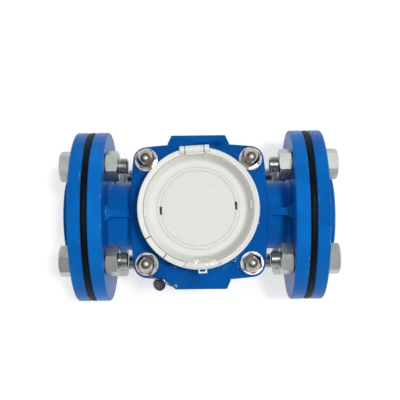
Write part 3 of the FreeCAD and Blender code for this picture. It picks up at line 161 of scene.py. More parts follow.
def chipped(tree, where):
    """1 where the coat is chipped: on edges and on the ring's track, broken up by two noises."""
    reach = add(tree, "VectorMath", {0: about_axis(tree, where)}, "Value", operation="LENGTH")
    rub = add(tree, "Math", {0: reach, 1: TRACK_R * MM, 2: TRACK_HALF * MM}, operation="COMPARE")
    height = add(tree, "SeparateXYZ", {0: where}, "Z")
    on_top = add(tree, "Math", {0: height, 1: TRACK_LOW_Z * MM}, operation="GREATER_THAN")
    track = add(tree, "Math", {0: rub, 1: on_top}, operation="MULTIPLY")
    edge = edges_of(tree, radius=0.8, sharp=0.90, soft=0.985)
    bare = add(tree, "Math", {0: edge, 1: track}, operation="MAXIMUM")
    nicks = add(tree, "TexNoise", {"Vector": where, "Scale": per_mm(2.4), "Detail": 5.0})
    patches = add(tree, "TexNoise", {"Vector": where, "Scale": per_mm(21), "Detail": 1.0})
    nick = add(tree, "MapRange", {"Value": nicks, "From Min": 0.57, "From Max": 0.62})
    patch = add(tree, "MapRange", {"Value": patches, "From Min": 0.50, "From Max": 0.56})
    there = add(tree, "Math", {0: bare, 1: nick}, operation="MULTIPLY")
    return add(tree, "Math", {0: there, 1: patch}, operation="MULTIPLY")


def coat(key, name, deep, pale):
    """A blue epoxy coat between two tones."""
    tree, shader, where = new_finish(key, name)
    tone = add(tree, "TexNoise", {"Vector": where, "Scale": per_mm(38), "Detail": 4.0})
    spread = add(tree, "MapRange", {"Value": tone, "From Min": 0.35, "From Max": 0.65})
    blue = add(tree, "Mix", {FACTOR: spread, COLOUR_A: linear(deep), COLOUR_B: linear(pale)},
               COLOUR, data_type="RGBA")
    # Painted shade: the coat darkens towards a deep blue in corners and creases
    open_air = add(tree, "AmbientOcclusion", {"Distance": 2.0 * MM}, "AO", samples=8, only_local=True)
    corner = add(tree, "MapRange", {"Value": open_air, "From Min": 0.7, "From Max": 0.3, "To Max": 0.6})
    dusky = add(tree, "Mix", {FACTOR: corner, COLOUR_A: blue, COLOUR_B: linear(CORNER_SHADE_BLUE)},
                COLOUR, data_type="RGBA")
    chip = chipped(tree, where)
    worn = add(tree, "Mix", {FACTOR: chip, COLOUR_A: dusky, COLOUR_B: linear(PRIMER)},
               COLOUR, data_type="RGBA")
    gloss = add(tree, "MapRange", {"Value": tone, "To Min": 0.26, "To Max": 0.38})
    rough = add(tree, "Mix", {FACTOR: chip, VALUE_A: gloss, VALUE_B: 0.75})
    waves = add(tree, "TexNoise", {"Vector": where, "Scale": per_mm(9), "Detail": 2.0})
    peel = add(tree, "TexNoise", {"Vector": where, "Scale": per_mm(1.4), "Detail": 1.0})
    swell = add(tree, "Bump", {"Height": waves, "Strength": 0.3, "Distance": 0.3 * MM})
    skin = add(tree, "Bump", {"Height": peel, "Strength": 0.25, "Distance": 0.04 * MM, "Normal": swell})
    fill(tree, shader, {
        "Base Color": worn, "Roughness": rough, "Normal": skin,
        "Specular IOR Level": 0.09, "Specular Tint": linear(SHEEN_BLUE),
    })
    print("finish:", name)


# Companion flanges
coat("blue_coat", "epoxy_coated_iron_satin_blue", "0A5CA8", "0D6ABE")
# Meter body, a little brighter
coat("body_coat", "epoxy_coated_iron_bright_blue", "0C64B6", "1074CC")
# Cover plate, a little deeper
coat("cover_coat", "epoxy_coated_iron_deep_blue", "0A4F98", "0C5CAC")
# Cast arrow, in a darker blue than the cover
coat("arrow_coat", "epoxy_coated_iron_dusky_blue", "083C78", "0A4688")

# %% [markdown]
# ## Rubber
# The full-face gaskets are moulded black rubber. It is dull, with a fine talc-grey bloom in patches.

# %% Rubber
tree, shader, where = new_finish("gasket_rubber", "moulded_rubber_matt_black")
bloom = add(tree, "TexNoise", {"Vector": where, "Scale": per_mm(6), "Detail": 5.0})
pores = add(tree, "TexNoise", {"Vector": where, "Scale": per_mm(0.6), "Detail": 2.0})
black = add(tree, "Mix", {FACTOR: bloom, COLOUR_A: linear("040405"), COLOUR_B: linear("0A0B0C")},
            COLOUR, data_type="RGBA")
dull = add(tree, "MapRange", {"Value": bloom, "To Min": 0.40, "To Max": 0.62})
pitted = add(tree, "Bump", {"Height": pores, "Strength": 0.3, "Distance": 0.06 * MM})
fill(tree, shader, {"Base Color": black, "Roughness": dull, "Normal": pitted, "Specular IOR Level": 0.1})
print("finish:", FINISHES["gasket_rubber"].name)

# %% [markdown]
# ## Metals
# The flange bolts and nuts are zinc-plated: silky, a little mottled and worn brighter along their
# edges. The cover's dome nuts and washers are polished stainless steel. Inside are plain steel
# spindles, brass bearings and ferrite magnets. One recipe serves them: two tones of the metal mixed by
# a mottle, a fine lay as bump, a roughness that follows the mottle, and brighter edges.

# %% Metals
RUBBED_EDGE = "D8D8D2"


def metal(slot, name, bright, deep, mottle, lay, smooth, dull, metallic=1.0):
    """A metal of two tones, with a mottle and a surface lay in millimetres."""
    tree, shader, where = new_finish(slot, name)
    cloud = add(tree, "TexNoise", {"Vector": where, "Scale": per_mm(mottle), "Detail": 4.0})
    grain = add(tree, "TexNoise", {"Vector": where, "Scale": per_mm(lay), "Detail": 2.0})
    spread = add(tree, "MapRange", {"Value": cloud, "From Min": 0.35, "From Max": 0.65})
    body = add(tree, "Mix", {FACTOR: spread, COLOUR_A: linear(deep), COLOUR_B: linear(bright)},
               COLOUR, data_type="RGBA")
    edge = edges_of(tree, radius=0.4, sharp=0.88, soft=0.98)
    rubbed = add(tree, "Mix", {FACTOR: edge, COLOUR_A: body, COLOUR_B: linear(RUBBED_EDGE)},
                 COLOUR, data_type="RGBA")
    sheen = add(tree, "MapRange", {"Value": cloud, "To Min": dull, "To Max": smooth})
    relief = add(tree, "Bump", {"Height": grain, "Strength": 0.2, "Distance": 0.04 * MM})
    fill(tree, shader, {"Base Color": rubbed, "Roughness": sheen, "Normal": relief, "Metallic": metallic})
    print("finish:", name)


# Zinc plate on forged bolts and nuts
metal("zinc_steel", "zinc_plated_steel_silky", "AEB3B0", "9EA3A0",
      mottle=9.0, lay=0.7, smooth=0.24, dull=0.34)
# Polished stainless dome nuts, washers and studs
metal("bright_steel", "stainless_steel_polished", "BDB8AF", "9C968C",
      mottle=7.0, lay=1.2, smooth=0.08, dull=0.16)
# Turned steel spindles, pins and screws
metal("steel", "turned_steel_fine", "A3A6A9", "85888B",
      mottle=3.0, lay=0.4, smooth=0.22, dull=0.34)
# Brass bearings
metal("brass", "turned_brass_warm", "C9A458", "A88543",
      mottle=3.0, lay=0.4, smooth=0.22, dull=0.36)
# Sintered ferrite, dark and hardly metallic
metal("magnet", "sintered_ferrite_grey", "3A3B3E", "2A2B2E",
      mottle=2.0, lay=0.4, smooth=0.45, dull=0.6, metallic=0.3)
# Copper seal wire, tarnished to tan
metal("copper_wire", "copper_wire_tarnished", "B08E6C", "6E5742",
      mottle=1.6, lay=0.3, smooth=0.35, dull=0.55, metallic=0.8)
# Pressed lead, dark with oxide
metal("lead", "pressed_lead_oxidised", "3C4658", "222B3B",
      mottle=2.2, lay=0.5, smooth=0.42, dull=0.62, metallic=0.6)

# %% [markdown]
# ## Plastics
# The register ring and its lid are moulded in an off-white plastic, satin on the rim and finely
# grained on the lid's inner disc. The insert, rotor, gears, dial and drums are moulded too. One recipe
# serves the plain mouldings: two close tones, a fine spark-eroded grain, a slow change of gloss, and
# painted shade in narrow gaps and slits.

# %% Plastics
# Painted shade: narrow gaps and slits are darkened towards this near-black where ambient occlusion is low
GAP_SHADE = "1E1D1B"


def moulding(slot, name, pale, deep, grain, relief, smooth, dull):
    """A moulded plastic of two close tones, with its grain and the grain's height in millimetres."""
    tree, shader, where = new_finish(slot, name)
    cloud = add(tree, "TexNoise", {"Vector": where, "Scale": per_mm(14), "Detail": 4.0})
    skin = add(tree, "TexNoise", {"Vector": where, "Scale": per_mm(grain), "Detail": 2.0})
    tone = add(tree, "Mix", {FACTOR: cloud, COLOUR_A: linear(deep), COLOUR_B: linear(pale)},
               COLOUR, data_type="RGBA")
    # Painted shade in narrow gaps and slits, where ambient occlusion is low
    open_air = add(tree, "AmbientOcclusion", {"Distance": 3.0 * MM}, "AO", samples=8, only_local=True)
    gap = add(tree, "MapRange", {"Value": open_air, "From Min": 0.62, "From Max": 0.40})
    gap_shaded = add(tree, "Mix", {FACTOR: gap, COLOUR_A: tone, COLOUR_B: linear(GAP_SHADE)},
                 COLOUR, data_type="RGBA")
    gloss = add(tree, "MapRange", {"Value": cloud, "To Min": smooth, "To Max": dull})
    bump = add(tree, "Bump", {"Height": skin, "Strength": 0.3, "Distance": relief * MM})
    fill(tree, shader, {"Base Color": gap_shaded, "Roughness": gloss, "Normal": bump})
    print("finish:", name)


# Satin ring moulding
moulding("white_plastic", "moulded_plastic_satin_white", "E4E5E0", "DADBD5",
         grain=0.8, relief=0.03, smooth=0.42, dull=0.54)
# Grey-white polypropylene insert
moulding("insert_plastic", "moulded_plastic_grey", "B9BDBC", "A9ADAC",
         grain=0.9, relief=0.04, smooth=0.4, dull=0.52)
# Blue-grey rotor moulding
moulding("rotor_plastic", "moulded_plastic_pale_blue", "8FA9C4", "7E98B3",
         grain=0.9, relief=0.03, smooth=0.35, dull=0.48)
# Acetal gears
moulding("gear_plastic", "acetal_cream", "E4E0D2", "D6D1C1",
         grain=0.7, relief=0.02, smooth=0.32, dull=0.44)
# Printed dial plate
moulding("dial_white", "printed_dial_white", "ECECE8", "E2E2DD",
         grain=1.2, relief=0.01, smooth=0.4, dull=0.5)
# Red pointers and star
moulding("pointer_red", "moulded_plastic_red", "C42A22", "AE1F1A",
         grain=0.8, relief=0.02, smooth=0.3, dull=0.4)
# Black whole-number drums
moulding("drum_black", "moulded_plastic_black", "1E1F21", "151618",
         grain=0.8, relief=0.02, smooth=0.35, dull=0.46)
# Red decimal drums
moulding("drum_red", "moulded_plastic_dark_red", "B4241F", "9C1C19",
         grain=0.8, relief=0.02, smooth=0.35, dull=0.46)

# %% [markdown]
# ## The lid's plastic
# The lid is the same off-white plastic, but its inner disc has a coarser grain from the mould. Painted
# shade lies in its cove, most on the east side, painted shade lines the foot of its bead, and fingers have
# polished the thumb tab. The distance from the register's axis, in the lid's own coordinates, tells these
# places apart.

# %% The lid's plastic
LID_DEEP = "DADBD5"
LID_PALE = "E3E4DF"
# Painted shade in the lid's cove
COVE_SHADE = "A9A89F"
# Painted shade at the foot of the lid's bead
BEAD_FOOT_SHADE = "77766F"
DISC_R = 33.5
DISC_BLEND = 0.3
COVE_START_R, COVE_FULL_R = 40.5, 43.5
COVE_STOP_R, COVE_END_R = 47.4, 47.9
# The painted shade in the cove grows from west to east between these two places along X
SHADE_WEST_X, SHADE_EAST_X = -45, 25
# The thumb tab is an oval: its place along Y is stretched, and the shift is that of the stretched place
THUMB_X = 2.7
THUMB_STRETCH = 1.8
THUMB_SHIFT = 86.0
THUMB_IN_R, THUMB_OUT_R = 11.0, 13.0

tree, shader, where = new_finish("lid_plastic", "moulded_plastic_grained_white")
flat = about_axis(tree, where)
reach = add(tree, "VectorMath", {0: flat}, "Value", operation="LENGTH")
disc = add(tree, "MapRange", {
    "Value": reach, "From Min": (DISC_R + DISC_BLEND) * MM, "From Max": (DISC_R - DISC_BLEND) * MM,
})
cloud = add(tree, "TexNoise", {"Vector": where, "Scale": per_mm(16), "Detail": 4.0})
grain = add(tree, "TexNoise", {"Vector": where, "Scale": per_mm(0.9), "Detail": 3.0})
fleck = add(tree, "MapRange", {"Value": grain, "From Min": 0.4, "From Max": 0.6})
mottle = add(tree, "Mix", {FACTOR: disc, VALUE_A: cloud, VALUE_B: fleck})
tone = add(tree, "Mix", {FACTOR: mottle, COLOUR_A: linear(LID_DEEP), COLOUR_B: linear(LID_PALE)},
           COLOUR, data_type="RGBA")

# Painted shade in the cove, strongest on the east side
rise = add(tree, "MapRange", {"Value": reach, "From Min": COVE_START_R * MM, "From Max": COVE_FULL_R * MM})
stop = add(tree, "MapRange", {"Value": reach, "From Min": COVE_END_R * MM, "From Max": COVE_STOP_R * MM})
along = add(tree, "SeparateXYZ", {0: flat}, "X")
eastward_shade = add(tree, "MapRange", {
    "Value": along, "From Min": SHADE_WEST_X * MM, "From Max": SHADE_EAST_X * MM, "To Max": 0.7,
})
cove = add(tree, "Math", {0: rise, 1: stop}, operation="MULTIPLY")
cove_shade_mask = add(tree, "Math", {0: cove, 1: eastward_shade}, operation="MULTIPLY")
cove_shaded = add(tree, "Mix", {FACTOR: cove_shade_mask, COLOUR_A: tone, COLOUR_B: linear(COVE_SHADE)},
            COLOUR, data_type="RGBA")

# Painted shade at the foot of the bead and in the lid's other tight corners, where ambient occlusion is low
open_air = add(tree, "AmbientOcclusion", {"Distance": 1.2 * MM}, "AO", samples=12)
foot = add(tree, "MapRange", {"Value": open_air, "From Min": 0.85, "From Max": 0.45, "To Max": 0.6})
lined = add(tree, "Mix", {FACTOR: foot, COLOUR_A: cove_shaded, COLOUR_B: linear(BEAD_FOOT_SHADE)},
            COLOUR, data_type="RGBA")

# Polished thumb tab, a little rippled
thumb = add(tree, "Mapping", {
    "Vector": where, "Scale": (1, THUMB_STRETCH, 0),
    "Location": (-MIDDLE_X - THUMB_X * MM, THUMB_SHIFT * MM, 0),
})
near = add(tree, "VectorMath", {0: thumb}, "Value", operation="LENGTH")
tab = add(tree, "MapRange", {"Value": near, "From Min": THUMB_OUT_R * MM, "From Max": THUMB_IN_R * MM})
ripple = add(tree, "TexNoise", {"Vector": where, "Scale": per_mm(8), "Detail": 1.0})
wavy = add(tree, "Math", {0: tab, 1: 0.5}, operation="MULTIPLY")
sag = add(tree, "Bump", {"Height": ripple, "Strength": wavy, "Distance": 3.2 * MM})
satin = add(tree, "MapRange", {"Value": disc, "To Min": 0.46, "To Max": 0.55})
gloss = add(tree, "Mix", {FACTOR: tab, VALUE_A: satin, VALUE_B: 0.16})

depth = add(tree, "MapRange", {"Value": disc, "To Min": 0.1, "To Max": 0.6})
bump = add(tree, "Bump", {"Height": grain, "Strength": depth, "Distance": 0.45 * MM, "Normal": sag})
fill(tree, shader, {"Base Color": lined, "Roughness": gloss, "Normal": bump})
print("finish:", FINISHES["lid_plastic"].name)

# %% [markdown]
# ## Glass
# The register's window is clear toughened glass, faintly green, with a light film of dust in patches.

# %% Glass
tree, shader, where = new_finish("glass", "toughened_glass_clear")
film = add(tree, "TexNoise", {"Vector": where, "Scale": per_mm(11), "Detail": 5.0})
haze = add(tree, "MapRange", {"Value": film, "From Min": 0.4, "From Max": 0.8, "To Min": 0.0, "To Max": 0.12})
fill(tree, shader, {"Base Color": linear("EEF5F1"), "Roughness": haze, "Transmission Weight": 1.0})
print("finish:", FINISHES["glass"].name)

# %% [markdown]
# ## Dress the CAD pieces
# Each CAD piece carries the name of its material slot, so one loop gives all of them their finish.
# The body and the cover have their own tone of the blue coat.

# %% Dress the CAD pieces
OWN_TONE = {"meter_body": "body_coat", "cover_plate": "cover_coat"}
for name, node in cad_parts.items():
    for index, plain in enumerate(node.data.materials):
        node.data.materials[index] = FINISHES[OWN_TONE.get(name, plain.name.split(".")[0])]
print("dressed", len(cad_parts), "CAD pieces")

# %% [markdown]
# ## Helpers for new pieces
# A new piece is drawn in millimetres as a mesh, cleaned, carried to its place and left at the origin,
# unturned and unscaled. It then rides the body that it belongs to.

# %% Helpers for new pieces
WELD = 0.002
SHARP_ANGLE = math.radians(32)


def finished(name, shape, place, body, slot, tone=None):
    """Makes a drawn mesh into a piece that rides a body in the finish of a slot."""
    bmesh.ops.remove_doubles(shape, verts=shape.verts, dist=WELD)
    bmesh.ops.recalc_face_normals(shape, faces=shape.faces)
    shape.transform(place)
    mesh = bpy.data.meshes.new(name)
    shape.to_mesh(mesh)
    shape.free()
    mesh.shade_smooth()
    mesh.set_sharp_from_angle(angle=SHARP_ANGLE)
    mesh.materials.append(FINISHES[tone or slot])
    made = bpy.data.objects.new(name, mesh)
    bpy.context.scene.collection.objects.link(made)
    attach(made, body)
    print("piece:", name, len(mesh.polygons), "faces")


def points_of(geometry):
    """The points among what a mesh operator gives back."""
    return [item for item in geometry if isinstance(item, bmesh.types.BMVert)]


def outline(shape, points, low, high):
    """A flat outline drawn up from one height to another, with closed sides."""
    face = shape.faces.new([shape.verts.new((x, y, low)) for x, y in points])
    grown = bmesh.ops.extrude_face_region(shape, geom=[face], use_keep_orig=True)
    bmesh.ops.translate(shape, verts=points_of(grown["geom"]), vec=(0, 0, high - low))


def rounded(shape, edges, width, segments):
    """Rounds edges to a width."""
    bmesh.ops.bevel(
        shape, geom=edges, offset=width, affect="EDGES", segments=segments, profile=0.5, material=-1,
    )


def ridge(shape, profile, axis_at, pitch, turns, steps):
    """A thread ridge: a closed profile of (radius, along) points wound about a line along X."""
    loop = [shape.verts.new(Vector((along, 0, radius)) + axis_at) for radius, along in profile]
    sides = [shape.edges.new((a, b)) for a, b in zip(loop, loop[1:] + loop[:1])]
    wound = bmesh.ops.spin(
        shape, geom=loop + sides, cent=axis_at, axis=(1, 0, 0), dvec=(pitch / steps, 0, 0),
        angle=2 * math.pi * turns, steps=round(turns * steps), use_merge=False,
    )
    bmesh.ops.contextual_create(shape, geom=loop)
    bmesh.ops.contextual_create(shape, geom=points_of(wound["geom_last"]))


def merge(shape, part):
    """Adds one drawn mesh to another."""
    held = bpy.data.meshes.new("held")
    part.to_mesh(held)
    part.free()
    shape.from_mesh(held)
    bpy.data.meshes.remove(held)


print("piece helpers ready")

# %% [markdown]
# ## Threads
# A rolled bolt thread is one ridge wound about the core. The tails stand out of the nuts, so their
# threads are seen from above. The hub bores have a finer pipe thread. Both ridges are wound from one
# profile in steps, with a small move along the axis at each step.

# %% Threads
BOLTS_PER_FLANGE = 4
BOLT_CIRCLE_R = 62.5
BOLT_TAIL_X = 66.0
NUT_FACE_X = 74.5
BOLT_CORE_R = 6.7
BOLT_CREST_R = 7.95
BOLT_PITCH = 2.0
BOLT_STEPS = 32
BOLT_SINK = 0.1
bolt_profile = [
    (BOLT_CORE_R - BOLT_SINK, 0.1), (BOLT_CREST_R, 0.8), (BOLT_CREST_R, 1.1), (BOLT_CORE_R - BOLT_SINK, 1.8),
]
bolt_turns = (NUT_FACE_X - BOLT_TAIL_X - BOLT_PITCH) / BOLT_PITCH
for start, name in ((-NUT_FACE_X, "inlet_bolt_threads"), (BOLT_TAIL_X, "outlet_bolt_threads")):
    threads = bmesh.new()
    for bolt in range(BOLTS_PER_FLANGE):
        angle = 2 * math.pi * (bolt + 0.5) / BOLTS_PER_FLANGE
        middle = Vector((start, BOLT_CIRCLE_R * math.cos(angle), BOLT_CIRCLE_R * math.sin(angle)))
        ridge(threads, bolt_profile, middle, BOLT_PITCH, bolt_turns, BOLT_STEPS)
    finished(name, threads, METER, "meter", "zinc_steel")

COMPANION_X = 106.0
PIPE_BORE_R = 28.33
PIPE_CREST = 0.6
PIPE_SINK = 0.2
PIPE_PITCH = 2.31
PIPE_STEPS = 64
pipe_profile = [
    (PIPE_BORE_R + PIPE_SINK, 0.2), (PIPE_BORE_R - PIPE_CREST, 1.0),
    (PIPE_BORE_R - PIPE_CREST, 1.3), (PIPE_BORE_R + PIPE_SINK, 2.1),
]
pipe_turns = (HUB_END_X - COMPANION_X - PIPE_PITCH) / PIPE_PITCH
for start, name in ((-HUB_END_X, "inlet_pipe_thread"), (COMPANION_X, "outlet_pipe_thread")):
    thread = bmesh.new()
    ridge(thread, pipe_profile, Vector((start, 0, 0)), PIPE_PITCH, pipe_turns, PIPE_STEPS)
    finished(name, thread, METER, "meter", "blue_coat")

# %% [markdown]
# ## Flow arrow
# The cover's casting has a low raised arrow on its north wing that shows the way of the water.
# It is an outline drawn up from the plate, with a rounded top edge as a casting has.

# %% Flow arrow
PLATE_TOP_Z = 54.0
ARROW_SINK = 0.3
ARROW_RISE = 0.8
ARROW_ROUND = 0.2
ARROW_Y = 63.1
TAIL_X, NECK_X, TIP_X = -3.4, 15.5, 25.0
SHAFT_HALF = 1.2
HEAD_HALF = 3.0
south = [(TAIL_X, -SHAFT_HALF), (NECK_X, -SHAFT_HALF), (NECK_X, -HEAD_HALF)]
north = [(x, -y) for x, y in reversed(south)]
arrow = bmesh.new()
outline(
    arrow, [(x, ARROW_Y + y) for x, y in south + [(TIP_X, 0)] + north],
    PLATE_TOP_Z - ARROW_SINK, PLATE_TOP_Z + ARROW_RISE,
)
top_edges = [edge for edge in arrow.edges if all(vert.co.z > PLATE_TOP_Z for vert in edge.verts)]
rounded(arrow, top_edges, ARROW_ROUND, 2)
finished("flow_arrow", arrow, METER, "meter", "blue_coat", "arrow_coat")

# %% [markdown]
# ## Rim pads
# Two low pads stand on the register ring's rim beside the thumb notch. They are small blocks with
# rounded edges, sunk a little into the rim.

# %% Rim pads
PAD_ANGLES = (-65.3, -115.3)
PAD_SIZE = (3.4, 9.4, 1.2)
PAD_AT = (50.4, 0, 97.25)
PAD_ROUND = 0.3
pads = bmesh.new()
for degrees in PAD_ANGLES:
    block = bmesh.new()
    bmesh.ops.create_cube(block, size=1.0, matrix=Matrix.Diagonal((*PAD_SIZE, 1.0)))
    rounded(block, list(block.edges), PAD_ROUND, 3)
    block.transform(Matrix.Rotation(math.radians(degrees), 4, "Z") @ Matrix.Translation(PAD_AT))
    merge(pads, block)
finished("rim_pads", pads, REGISTER, "register", "white_plastic")

# %% [markdown]
# ## Lid bead
# The mould left two fine raised lines on the lid, at both sides of its bead. Each is a small round
# section spun about the register's axis: the outer one once round, the inner one in two arcs.

# %% Lid bead


def wire_ring(shape, radius, thick, height, steps, start=0, sweep=360):
    """A round section spun about the axis from one angle through another, closed at its ends."""
    closed = sweep == 360
    section = bmesh.ops.create_circle(shape, segments=10, radius=thick, cap_ends=not closed)["verts"]
    upright = Matrix.Rotation(math.pi / 2, 3, "X")
    bmesh.ops.rotate(shape, verts=section, cent=(0, 0, 0), matrix=upright)
    bmesh.ops.translate(shape, verts=section, vec=(radius, 0, height))
    to_start = Matrix.Rotation(math.radians(start), 3, "Z")
    bmesh.ops.rotate(shape, verts=section, cent=(0, 0, 0), matrix=to_start)
    loop = list(dict.fromkeys(edge for vert in section for edge in vert.link_edges))
    spun = bmesh.ops.spin(
        shape, geom=section + loop, cent=(0, 0, 0), axis=(0, 0, 1), angle=math.radians(sweep), steps=steps,
        use_merge=closed,
    )
    if not closed:
        bmesh.ops.contextual_create(shape, geom=points_of(spun["geom_last"]))


lines = bmesh.new()
wire_ring(lines, radius=35.7, thick=0.5, height=93.45, steps=128)
for start in (7, 187):
    wire_ring(lines, radius=33.5, thick=0.42, height=93.5, steps=64, start=start, sweep=166)
finished("lid_bead_lines", lines, REGISTER, "lid", "lid_plastic")

# %% [markdown]
# ## Dial print
# Under the lid the dial has a black frame round the number window, a scale of ten round each pointer
# and the unit. Print is a very thin layer, so each mark is a flat shape raised by a few hundredths.

# %% Dial print
DIAL_TOP_Z = 76.5
INK = 0.04
TENTH = math.pi / 5
POINTER_X, POINTER_Y = 12.99, -7.5
TICK_R, TICK_W, TICK_L = 7.2, 0.35, 1.1
FIGURE_R, FIGURE_SIZE = 9.0, 2.2
LABEL_OUT, LABEL_DROP, LABEL_SIZE = 2.0, -12.2, 2.4
UNIT_X, UNIT_SIZE = 23.5, 4.2
DRUM_Y = 14.0
FRAME_HALF_L, FRAME_HALF_W, FRAME_LINE = 18.5, 4.9, 0.6
FRAME_LONG, FRAME_SHORT = 37.6, 10.4


def lettering(shape, text, size, place):
    """Adds flat text of a size in millimetres, centred on its place, to a drawn mesh."""
    curve = bpy.data.curves.new("figures", "FONT")
    curve.body = text
    curve.size = size
    curve.align_x = "CENTER"
    curve.align_y = "CENTER"
    holder = bpy.data.objects.new("figures", curve)
    flat = bpy.data.meshes.new_from_object(holder)
    flat.transform(place)
    shape.from_mesh(flat)
    bpy.data.objects.remove(holder)
    bpy.data.meshes.remove(flat)


def bar(shape, across, along, place):
    """Adds a flat printed bar."""
    bmesh.ops.create_cube(shape, size=1.0, matrix=place @ Matrix.Diagonal((across, along, INK, 1.0)))


ink = bmesh.new()
level = Matrix.Translation((0, 0, DIAL_TOP_Z + INK / 2))
for side, label in ((1, "x0.1"), (-1, "x0.01")):
    middle = level @ Matrix.Translation((side * POINTER_X, POINTER_Y, 0))
    for step in range(10):
        round_dial = middle @ Matrix.Rotation(-step * TENTH, 4, "Z")
        bar(ink, TICK_W, TICK_L, round_dial @ Matrix.Translation((0, TICK_R, 0)))
        upright = Matrix.Rotation(step * TENTH, 4, "Z")
        figure_at = round_dial @ Matrix.Translation((0, FIGURE_R, INK / 2)) @ upright
        lettering(ink, str(step), FIGURE_SIZE, figure_at)
    lettering(ink, label, LABEL_SIZE, middle @ Matrix.Translation((side * LABEL_OUT, LABEL_DROP, INK / 2)))
lettering(ink, "m\u00b3", UNIT_SIZE, level @ Matrix.Translation((UNIT_X, DRUM_Y, INK / 2)))
for side in (1, -1):
    bar(ink, FRAME_LONG, FRAME_LINE, level @ Matrix.Translation((0, DRUM_Y + side * FRAME_HALF_W, 0)))
for side in (1, -1):
    bar(ink, FRAME_LINE, FRAME_SHORT, level @ Matrix.Translation((side * FRAME_HALF_L, DRUM_Y, 0)))
finished("dial_print", ink, REGISTER, "register", "drum_black")

# %% [markdown]
# ## Drum figures
# Each number drum has the figures 0 to 9 printed round it. A flat figure is cut into narrow strips
# and bent to the drum. The figures follow each other so that the next one comes up as the drum turns.

# %% Drum figures
DRUMS = 6
DRUM_R = 6.2
PRINT_R = DRUM_R + INK
DRUM_AXIS_Z = 69.0
DRUM_PITCH = 5.7
DRUM_FIGURE_SIZE = 4.6
STRIP = 0.5
for drum in range(1, DRUMS + 1):
    figures = bmesh.new()
    drum_x = ((DRUMS + 1) / 2 - drum) * DRUM_PITCH
    for step in range(10):
        figure = bmesh.new()
        lettering(figure, str(step), DRUM_FIGURE_SIZE, Matrix.Identity(4))
        for cut in range(-3, 4):
            everything = figure.verts[:] + figure.edges[:] + figure.faces[:]
            bmesh.ops.bisect_plane(figure, geom=everything, plane_co=(0, cut * STRIP, 0), plane_no=(0, 1, 0))
        for vert in figure.verts:
            turn = vert.co.y / DRUM_R + step * TENTH
            away, up = PRINT_R * math.sin(turn), PRINT_R * math.cos(turn)
            vert.co = (drum_x + vert.co.x, DRUM_Y + away, DRUM_AXIS_Z + up)
        merge(figures, figure)
    finished(f"drum_figures_{drum}", figures, REGISTER, f"drum_{drum}", "dial_white")

# %% [markdown]
# ## Lead seal
# Sealing pliers press a rim and a crossed pattern into the lead. The pattern here is plain.

# %% Lead seal
LEAD_AT = (-36.9, -66.6, 55.5)
LEAD_FACING = (-0.50, -0.43, 0.75)
LEAD_HALF_T = 2.3
PEAK_PITCH = 1.7
PEAK_RISE = 0.15
facing = Vector(LEAD_FACING).to_track_quat("Z", "Y").to_matrix().to_4x4()
seat = Matrix.Translation(LEAD_AT) @ facing @ Matrix.Translation((0, 0, LEAD_HALF_T))
pressed = bmesh.new()
wire_ring(pressed, radius=4.1, thick=0.4, height=0, steps=48)
for column in (-1, 0, 1):
    for row in (-1, 0, 1):
        peak = Matrix.Translation((column * PEAK_PITCH, row * PEAK_PITCH, PEAK_RISE))
        bmesh.ops.create_cone(
            pressed, cap_ends=True, segments=4, radius1=0.85, radius2=0.3, depth=0.7,
            matrix=peak @ Matrix.Rotation(math.pi / 4, 4, "Z"),
        )
finished("lead_seal_pattern", pressed, METER @ seat, "meter", "lead")

# %% [markdown]
# ## Seal wire
# The seal is two strands of thin copper wire twisted together. The pair leaves the dome nut, dips to
# the lead seal and goes down through the hole in the wing. The route is a smooth curve through the
# same points as the CAD wire. The strands wind about points read from that curve.

# %% Seal wire
WIRE_ROUTE = [
    (-47.4, -51.0, 71.2), (-46.2, -57.2, 69.4), (-43.6, -60.2, 63.4), (-39.6, -61.4, 59.2),
    (-35.4, -62.8, 57.4), (-31.4, -65.0, 57.6), (-27.4, -67.6, 58.0), (-23.8, -68.6, 57.2),
    (-22.1, -68.1, 53.6), (-22.0, -68.0, 48.0), (-22.0, -68.0, 41.0),
]
STRAND_R = 0.35
TWIST_PITCH = 3.4
route = bpy.data.curves.new("seal_wire_route", "CURVE")
route.dimensions = "3D"
line = route.splines.new("NURBS")
line.points.add(len(WIRE_ROUTE) - 1)
for point, place in zip(line.points, WIRE_ROUTE):
    point.co = (*(METER @ Vector(place)), 1.0)
line.order_u = 3
line.use_endpoint_u = True
line.resolution_u = 12
holder = bpy.data.objects.new("seal_wire_route", route)
bpy.context.scene.collection.objects.link(holder)
read = bpy.data.meshes.new_from_object(holder)
path = [v.co.copy() for v in read.vertices]
bpy.data.objects.remove(holder)
bpy.data.meshes.remove(read)

strands = bpy.data.curves.new("seal_wire_strands", "CURVE")
strands.dimensions = "3D"
strands.bevel_depth = STRAND_R * MM
strands.bevel_resolution = 2
strands.use_fill_caps = True
ahead = [(b - a).normalized() for a, b in zip(path, path[1:])]
ahead.append(ahead[-1])
for half in (0.0, math.pi):
    across = ahead[0].orthogonal().normalized()
    length = 0.0
    wound = []
    for index, here in enumerate(path):
        across = (across - ahead[index] * across.dot(ahead[index])).normalized()
        if index:
            length += (here - path[index - 1]).length
        turn = half + 2 * math.pi * length / (TWIST_PITCH * MM)
        offset = across * math.cos(turn) + ahead[index].cross(across) * math.sin(turn)
        wound.append(here + offset * STRAND_R * MM)
    strand = strands.splines.new("POLY")
    strand.points.add(len(wound) - 1)
    for point, place in zip(strand.points, wound):
        point.co = (*place, 1.0)
strands.materials.append(FINISHES["copper_wire"])
wire = bpy.data.objects.new("seal_wire_strands", strands)
bpy.context.scene.collection.objects.link(wire)
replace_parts(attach(wire, "meter"), "seal_wire")
print("piece:", wire.name, len(path), "points,", round(length / MM, 1), "mm")

# %% [markdown]
# ## Floor, world and light
# The photograph has a plain white ground, one lamp a little east of overhead and soft light from all
# round. The floor shows white to the camera, to metal and to glass, and still takes the meter's shadow.
# The world has a white band at the horizon and a darker sky above it, brighter to the east, so that
# metals have something to reflect. A bright patch near the zenith puts a spot on the polished nuts.

